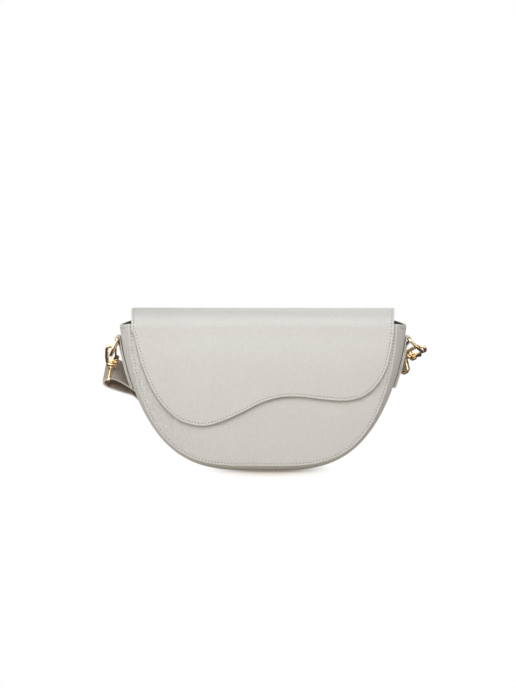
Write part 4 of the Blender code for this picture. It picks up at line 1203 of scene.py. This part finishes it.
class BAG_OT_eyes(bpy.types.Operator):
    """Builds the swivel eyes: a domed rivet through the barrel, a collar and the strap's rectangular loop"""

    bl_idname = "bag.eyes"
    bl_label = "Swivel eyes"

    def execute(self, context):
        rivet = [(0, -4.2), (1.9, -4.2), (2.5, -3.9), (3.0, -3.3), (3.0, -2.2), (2.8, -1.8), (1.4, -1.8)]
        rivet += [(1.4, 4.8), (2.1, 4.8), (2.0, 5.4), (1.4, 5.85), (0.7, 6.0), (0, 6.0)]
        half, corner = EYE_HALF, EYE_CORNER
        high, low = -EYE_TOP - corner, corner - EYE_BAR
        corners = ((half - corner, high, 90), (half - corner, low, 0), (corner - half, low, -90))
        corners += ((corner - half, high, 180),)
        outline = np.concatenate([arc((x, z), corner, start, start - 90, 12) for x, z, start in corners])
        shapes = turned(np.array(rivet) * MM, 40), wire(outline, 200, EYE_RADIUS)
        for name, side in SIDES.items():
            parts = ((shape, eye_matrix(side)) for shape in shapes)
            gold_piece(f"{name}_eye_metal", f"{name}_eye", (f"{name}_swivel_eye",), *parts)
        return {"FINISHED"}


class BAG_OT_strap(bpy.types.Operator):
    """Builds the strap: an end folded round each eye's bar, and the long run put away behind the bag"""

    bl_idname = "bag.strap"
    bl_label = "Strap"

    def execute(self, context):
        edge = 0.45 * MM
        section = band_section(STRAP_WIDTH, STRAP_WALL, edge)
        path, across = strap_route()
        rows, normal = ribbon(path, across, section)
        run, final = travel(path), len(path) - 1
        near = [int(np.searchsorted(run, stop)) for stop in STRAP_STOPS]
        marks = {"left": near, "right": [final - mark for mark in near]}
        bends = {}
        for name, side in SIDES.items():
            loop = loop_matrix(side)
            ends = tuple(loop.translation), tuple(path[marks[name][1]])
            bends[name] = (f"{name}_strap_end", f"{name}_eye", *ends)
            flat = even(through(np.array(LOOPS[name]) * MM, 16), 160)
            centres = in_columns(flat[:, 1] * side["loop_side"], np.zeros(len(flat)), -flat[:, 0])
            band, _ = ribbon(centres, np.array([0.0, side["loop_side"], 0.0]), section)
            skin, rides = Skin(), {"blend": bends[name], "replaces": (f"{name}_strap_loop",)}
            add_rows(skin, band, section, STRAP_WALL, edge, matrix=loop)
            skin.make(f"{name}_strap_end_loop", SEWN_SHADED_STRAP, "leather_strap", **rides)
        for name, way in (("left", -1), ("right", 1)):
            at = np.arange(near[1]) if name == "left" else final - np.arange(near[1])
            first, last = LOOPS[name][0][1], LOOPS[name][-1][1]
            share = ease(run[: near[1]] / 0.018)[:, None]
            off = (abs(first - last) * (1 - share) + (STRAP_WALL / MM + 0.25) * share) * MM
            centres = path[at] - normal[at] * off
            band, facing = ribbon(centres, across[at] * way, section)
            skin, end = Skin(), -6
            add_rows(skin, band, section, STRAP_WALL, edge)
            spread = np.linspace(-1, 1, 40)[:, None] * (STRAP_WIDTH / 2 - 2.5 * MM)
            line = centres[end] + facing[end] * STRAP_WALL / 2 + spread * unit(across[at[end]])
            stitches(skin, line, np.broadcast_to(facing[end], line.shape), context.scene.bag_leather)
            skin.make(f"{name}_strap_tail", SEWN_SHADED_STRAP, "leather_strap", blend=bends[name])
        spans = []
        for name, at in marks.items():
            bodies = [f"{name}_{body}" for body in ("strap_end", "eye", "hook", "ring")] + ["root"]
            for k in range(len(near) - 1):
                ends = (*bodies[k : k + 2], tuple(path[at[k]]), tuple(path[at[k + 1]])) if k else bends[name]
                spans.append((f"{name}_strap_run_{k + 1}", *sorted(at[k : k + 2]), {"blend": ends}))
        stored = {"body": "root", "replaces": ("strap",)}
        spans.append(("strap_run", marks["left"][-1], marks["right"][-1], stored))
        for name, first, last, rides in spans:
            skin = Skin()
            add_rows(skin, rows[first : last + 1], section, STRAP_WALL, edge, (first == 0, last == final))
            skin.make(name, SEWN_SHADED_STRAP, "leather_strap", **rides)
        return {"FINISHED"}


# The stage

WARM = (1.0, 0.93, 0.82)


def windows(tree, way):
    """Where a mirror sees the studio's bright sides: 1 towards the camera and far to the left, 0 between."""
    parts = node(tree, "SeparateXYZ", {0: way}).outputs
    return calc(tree, "MAXIMUM", ramp(tree, parts["Y"], -0.45, -0.75), ramp(tree, parts["X"], -0.5, -0.7))


def by_ray(tree, seen, mirrored, other, output):
    """Links one shader for the camera, one for reflections and one for all other rays to the output."""
    rays = node(tree, "LightPath").outputs
    unseen = choose(tree, rays["Is Glossy Ray"], other, mirrored)
    tree.links.new(choose(tree, rays["Is Camera Ray"], unseen, seen), node(tree, output).inputs["Surface"])


def floor_material():
    """Warm, darker diffuse close to the bag, a painted shadow over its cast one, melting into plain white
    round it.
    Mirrors see it bright only where the windows are. To all other rays it also glows, so that it fills the
    undersides."""
    material = bpy.data.materials.new("Studio floor")
    material.use_nodes = True
    tree = material.node_tree
    tree.nodes.clear()
    place = node(tree, "TexCoord").outputs["Object"]
    # Painted shadow: the floor under the bag is tinted warm and darker than the white round it
    near = mix_colour(tree, noise(tree, place, 3.0, 2.0)[0], (0.73, 0.63, 0.47, 1.0), (0.75, 0.65, 0.49, 1.0))
    soft = (0.50, 0.45, 0.39, 1.0)

    def matt(shade, light):
        diffuse = node(tree, "BsdfDiffuse", {"Color": shade}).outputs[0]
        return node(tree, "AddShader", {0: diffuse, 1: light}).outputs[0]

    lit, bounce = matt(near, glow(tree, 0.16)), matt(soft, glow(tree, 0.2, WARM))
    shadow_middle, per_metre = (0.006, 0.0, 0.0), (13.5, 14.0, 0.0)
    oval = vector(tree, "MULTIPLY", vector(tree, "SUBTRACT", place, shadow_middle), per_metre)
    seen = choose(tree, ramp(tree, vector(tree, "LENGTH", oval), 0.25, 0.85), lit, glow(tree, 1.0))
    fade = ramp(tree, vector(tree, "LENGTH", place), 0.3, 0.9)
    bright = calc(tree, "MULTIPLY", windows(tree, vector(tree, "NORMALIZE", place)), fade)
    shown = calc(tree, "ADD", calc(tree, "MULTIPLY", bright, 1.15), 0.07)
    by_ray(tree, seen, glow(tree, shown, WARM), bounce, "OutputMaterial")
    return material


def studio_world(ambient):
    """White to the camera; to reflections a dark room with a light overhead and a bright band at eye level;
    to all else a soft room that is lighter overhead."""
    world = bpy.data.worlds.new("Studio")
    world.use_nodes = True
    tree = world.node_tree
    tree.nodes.clear()
    way = node(tree, "TexCoord").outputs["Generated"]
    height = node(tree, "SeparateXYZ", {0: way}).outputs["Z"]
    power = calc(tree, "MULTIPLY", ramp(tree, height, 0.0, 0.9, 0.85, 1.25), ambient)
    above = ramp(tree, height, 0.56, 0.66, 0.03, 2.0)
    band = calc(tree, "MULTIPLY", windows(tree, way), ramp(tree, height, 0.28, 0.4, 1.05, 0.0))
    mirrored = glow(tree, calc(tree, "ADD", above, band), (1.0, 0.95, 0.87), "Background")
    room = glow(tree, power, (1.0, 0.99, 0.98), "Background")
    by_ray(tree, glow(tree, 1.0, kind="Background"), mirrored, room, "OutputWorld")
    return world


class BAG_OT_studio(bpy.types.Operator):
    """Sets the stage: a pale floor that melts into white, soft lamps and the photograph's camera angle"""

    bl_idname = "bag.studio"
    bl_label = "Studio"

    def execute(self, context):
        scene, studio = context.scene, context.scene.bag_studio

        def put(name, data, place, way=None):
            obj = bpy.data.objects.new(name, data)
            obj.location = place
            if way:
                obj.rotation_euler = way.to_track_quat("-Z", "Y").to_euler()
            scene.collection.objects.link(obj)
            return obj

        mesh = bpy.data.meshes.new("floor")
        reach = 6.0
        corners = [(x * reach, y * reach, 0) for x, y in ((-1, -1), (1, -1), (1, 1), (-1, 1))]
        mesh.from_pydata(corners, [], [(0, 1, 2, 3)])
        mesh.materials.append(floor_material())
        put("floor", mesh, (0, 0, -0.2 * MM))
        scene.world = studio_world(studio.ambient)
        white, aim = (1.0, 1.0, 1.0), Vector((0, 0, 0.08))
        lamps = (
            ("key_light", (0.03, -0.64, 0.58), 0.5, studio.key, (1.0, 0.995, 0.99)),
            ("left_light", (-1.0, -0.45, 0.2), 0.5, studio.side, white),
            ("right_light", (1.0, -0.35, 0.35), 0.6, studio.side * 0.42, white),
            ("back_light", (0.2, 1.2, 0.6), 0.8, studio.key * 1.1, white),
        )
        for name, place, size, power, tint in lamps:
            lamp = bpy.data.lights.new(name, "AREA")
            lamp.size, lamp.energy, lamp.color = size, power, tint
            put(name, lamp, place, aim - Vector(place)).visible_camera = False
        camera = bpy.data.cameras.new("camera")
        camera.sensor_width = sensor = 36
        camera.lens = sensor * studio.distance / studio.view_height
        level, turn = math.cos(studio.elevation), studio.azimuth
        way = (level * math.sin(turn), -level * math.cos(turn), math.sin(studio.elevation))
        target = Vector((-0.0042, -0.033, 0.1191))
        scene.camera = put("camera", camera, target + Vector(way) * studio.distance, -Vector(way))
        scene.view_settings.view_transform = "Standard"
        return {"FINISHED"}


OPERATORS = (
    BAG_OT_finishes, BAG_OT_panels, BAG_OT_gusset, BAG_OT_lining, BAG_OT_flap, BAG_OT_magnets, BAG_OT_tabs,
    BAG_OT_rings, BAG_OT_clips, BAG_OT_eyes, BAG_OT_strap, BAG_OT_studio,
)


class BAG_PT_sidebar(bpy.types.Panel):
    """Sizes, colours and the steps that build the bag"""

    bl_label = "Shoulder bag"
    bl_idname = "BAG_PT_sidebar"
    bl_space_type = "VIEW_3D"
    bl_region_type = "UI"
    bl_category = "Shoulder bag"

    def draw(self, context):
        for settings in (context.scene.bag_leather, context.scene.bag_hardware, context.scene.bag_studio):
            box = self.layout.box()
            for name in settings.__annotations__:
                box.prop(settings, name)
        for operator in OPERATORS:
            self.layout.operator(operator.bl_idname)


SETTINGS = {"bag_leather": LeatherSettings, "bag_hardware": HardwareSettings, "bag_studio": StudioSettings}


def register():
    for name, settings in SETTINGS.items():
        bpy.utils.register_class(settings)
        setattr(bpy.types.Scene, name, PointerProperty(type=settings))
    for made in (*OPERATORS, BAG_PT_sidebar):
        bpy.utils.register_class(made)


def unregister():
    for made in (BAG_PT_sidebar, *reversed(OPERATORS)):
        bpy.utils.unregister_class(made)
    for name, settings in SETTINGS.items():
        delattr(bpy.types.Scene, name)
        bpy.utils.unregister_class(settings)


def main():
    register()
    for operator in OPERATORS:
        group, name = operator.bl_idname.split(".")
        getattr(getattr(bpy.ops, group), name)()


if __name__ == "__main__":
    main()
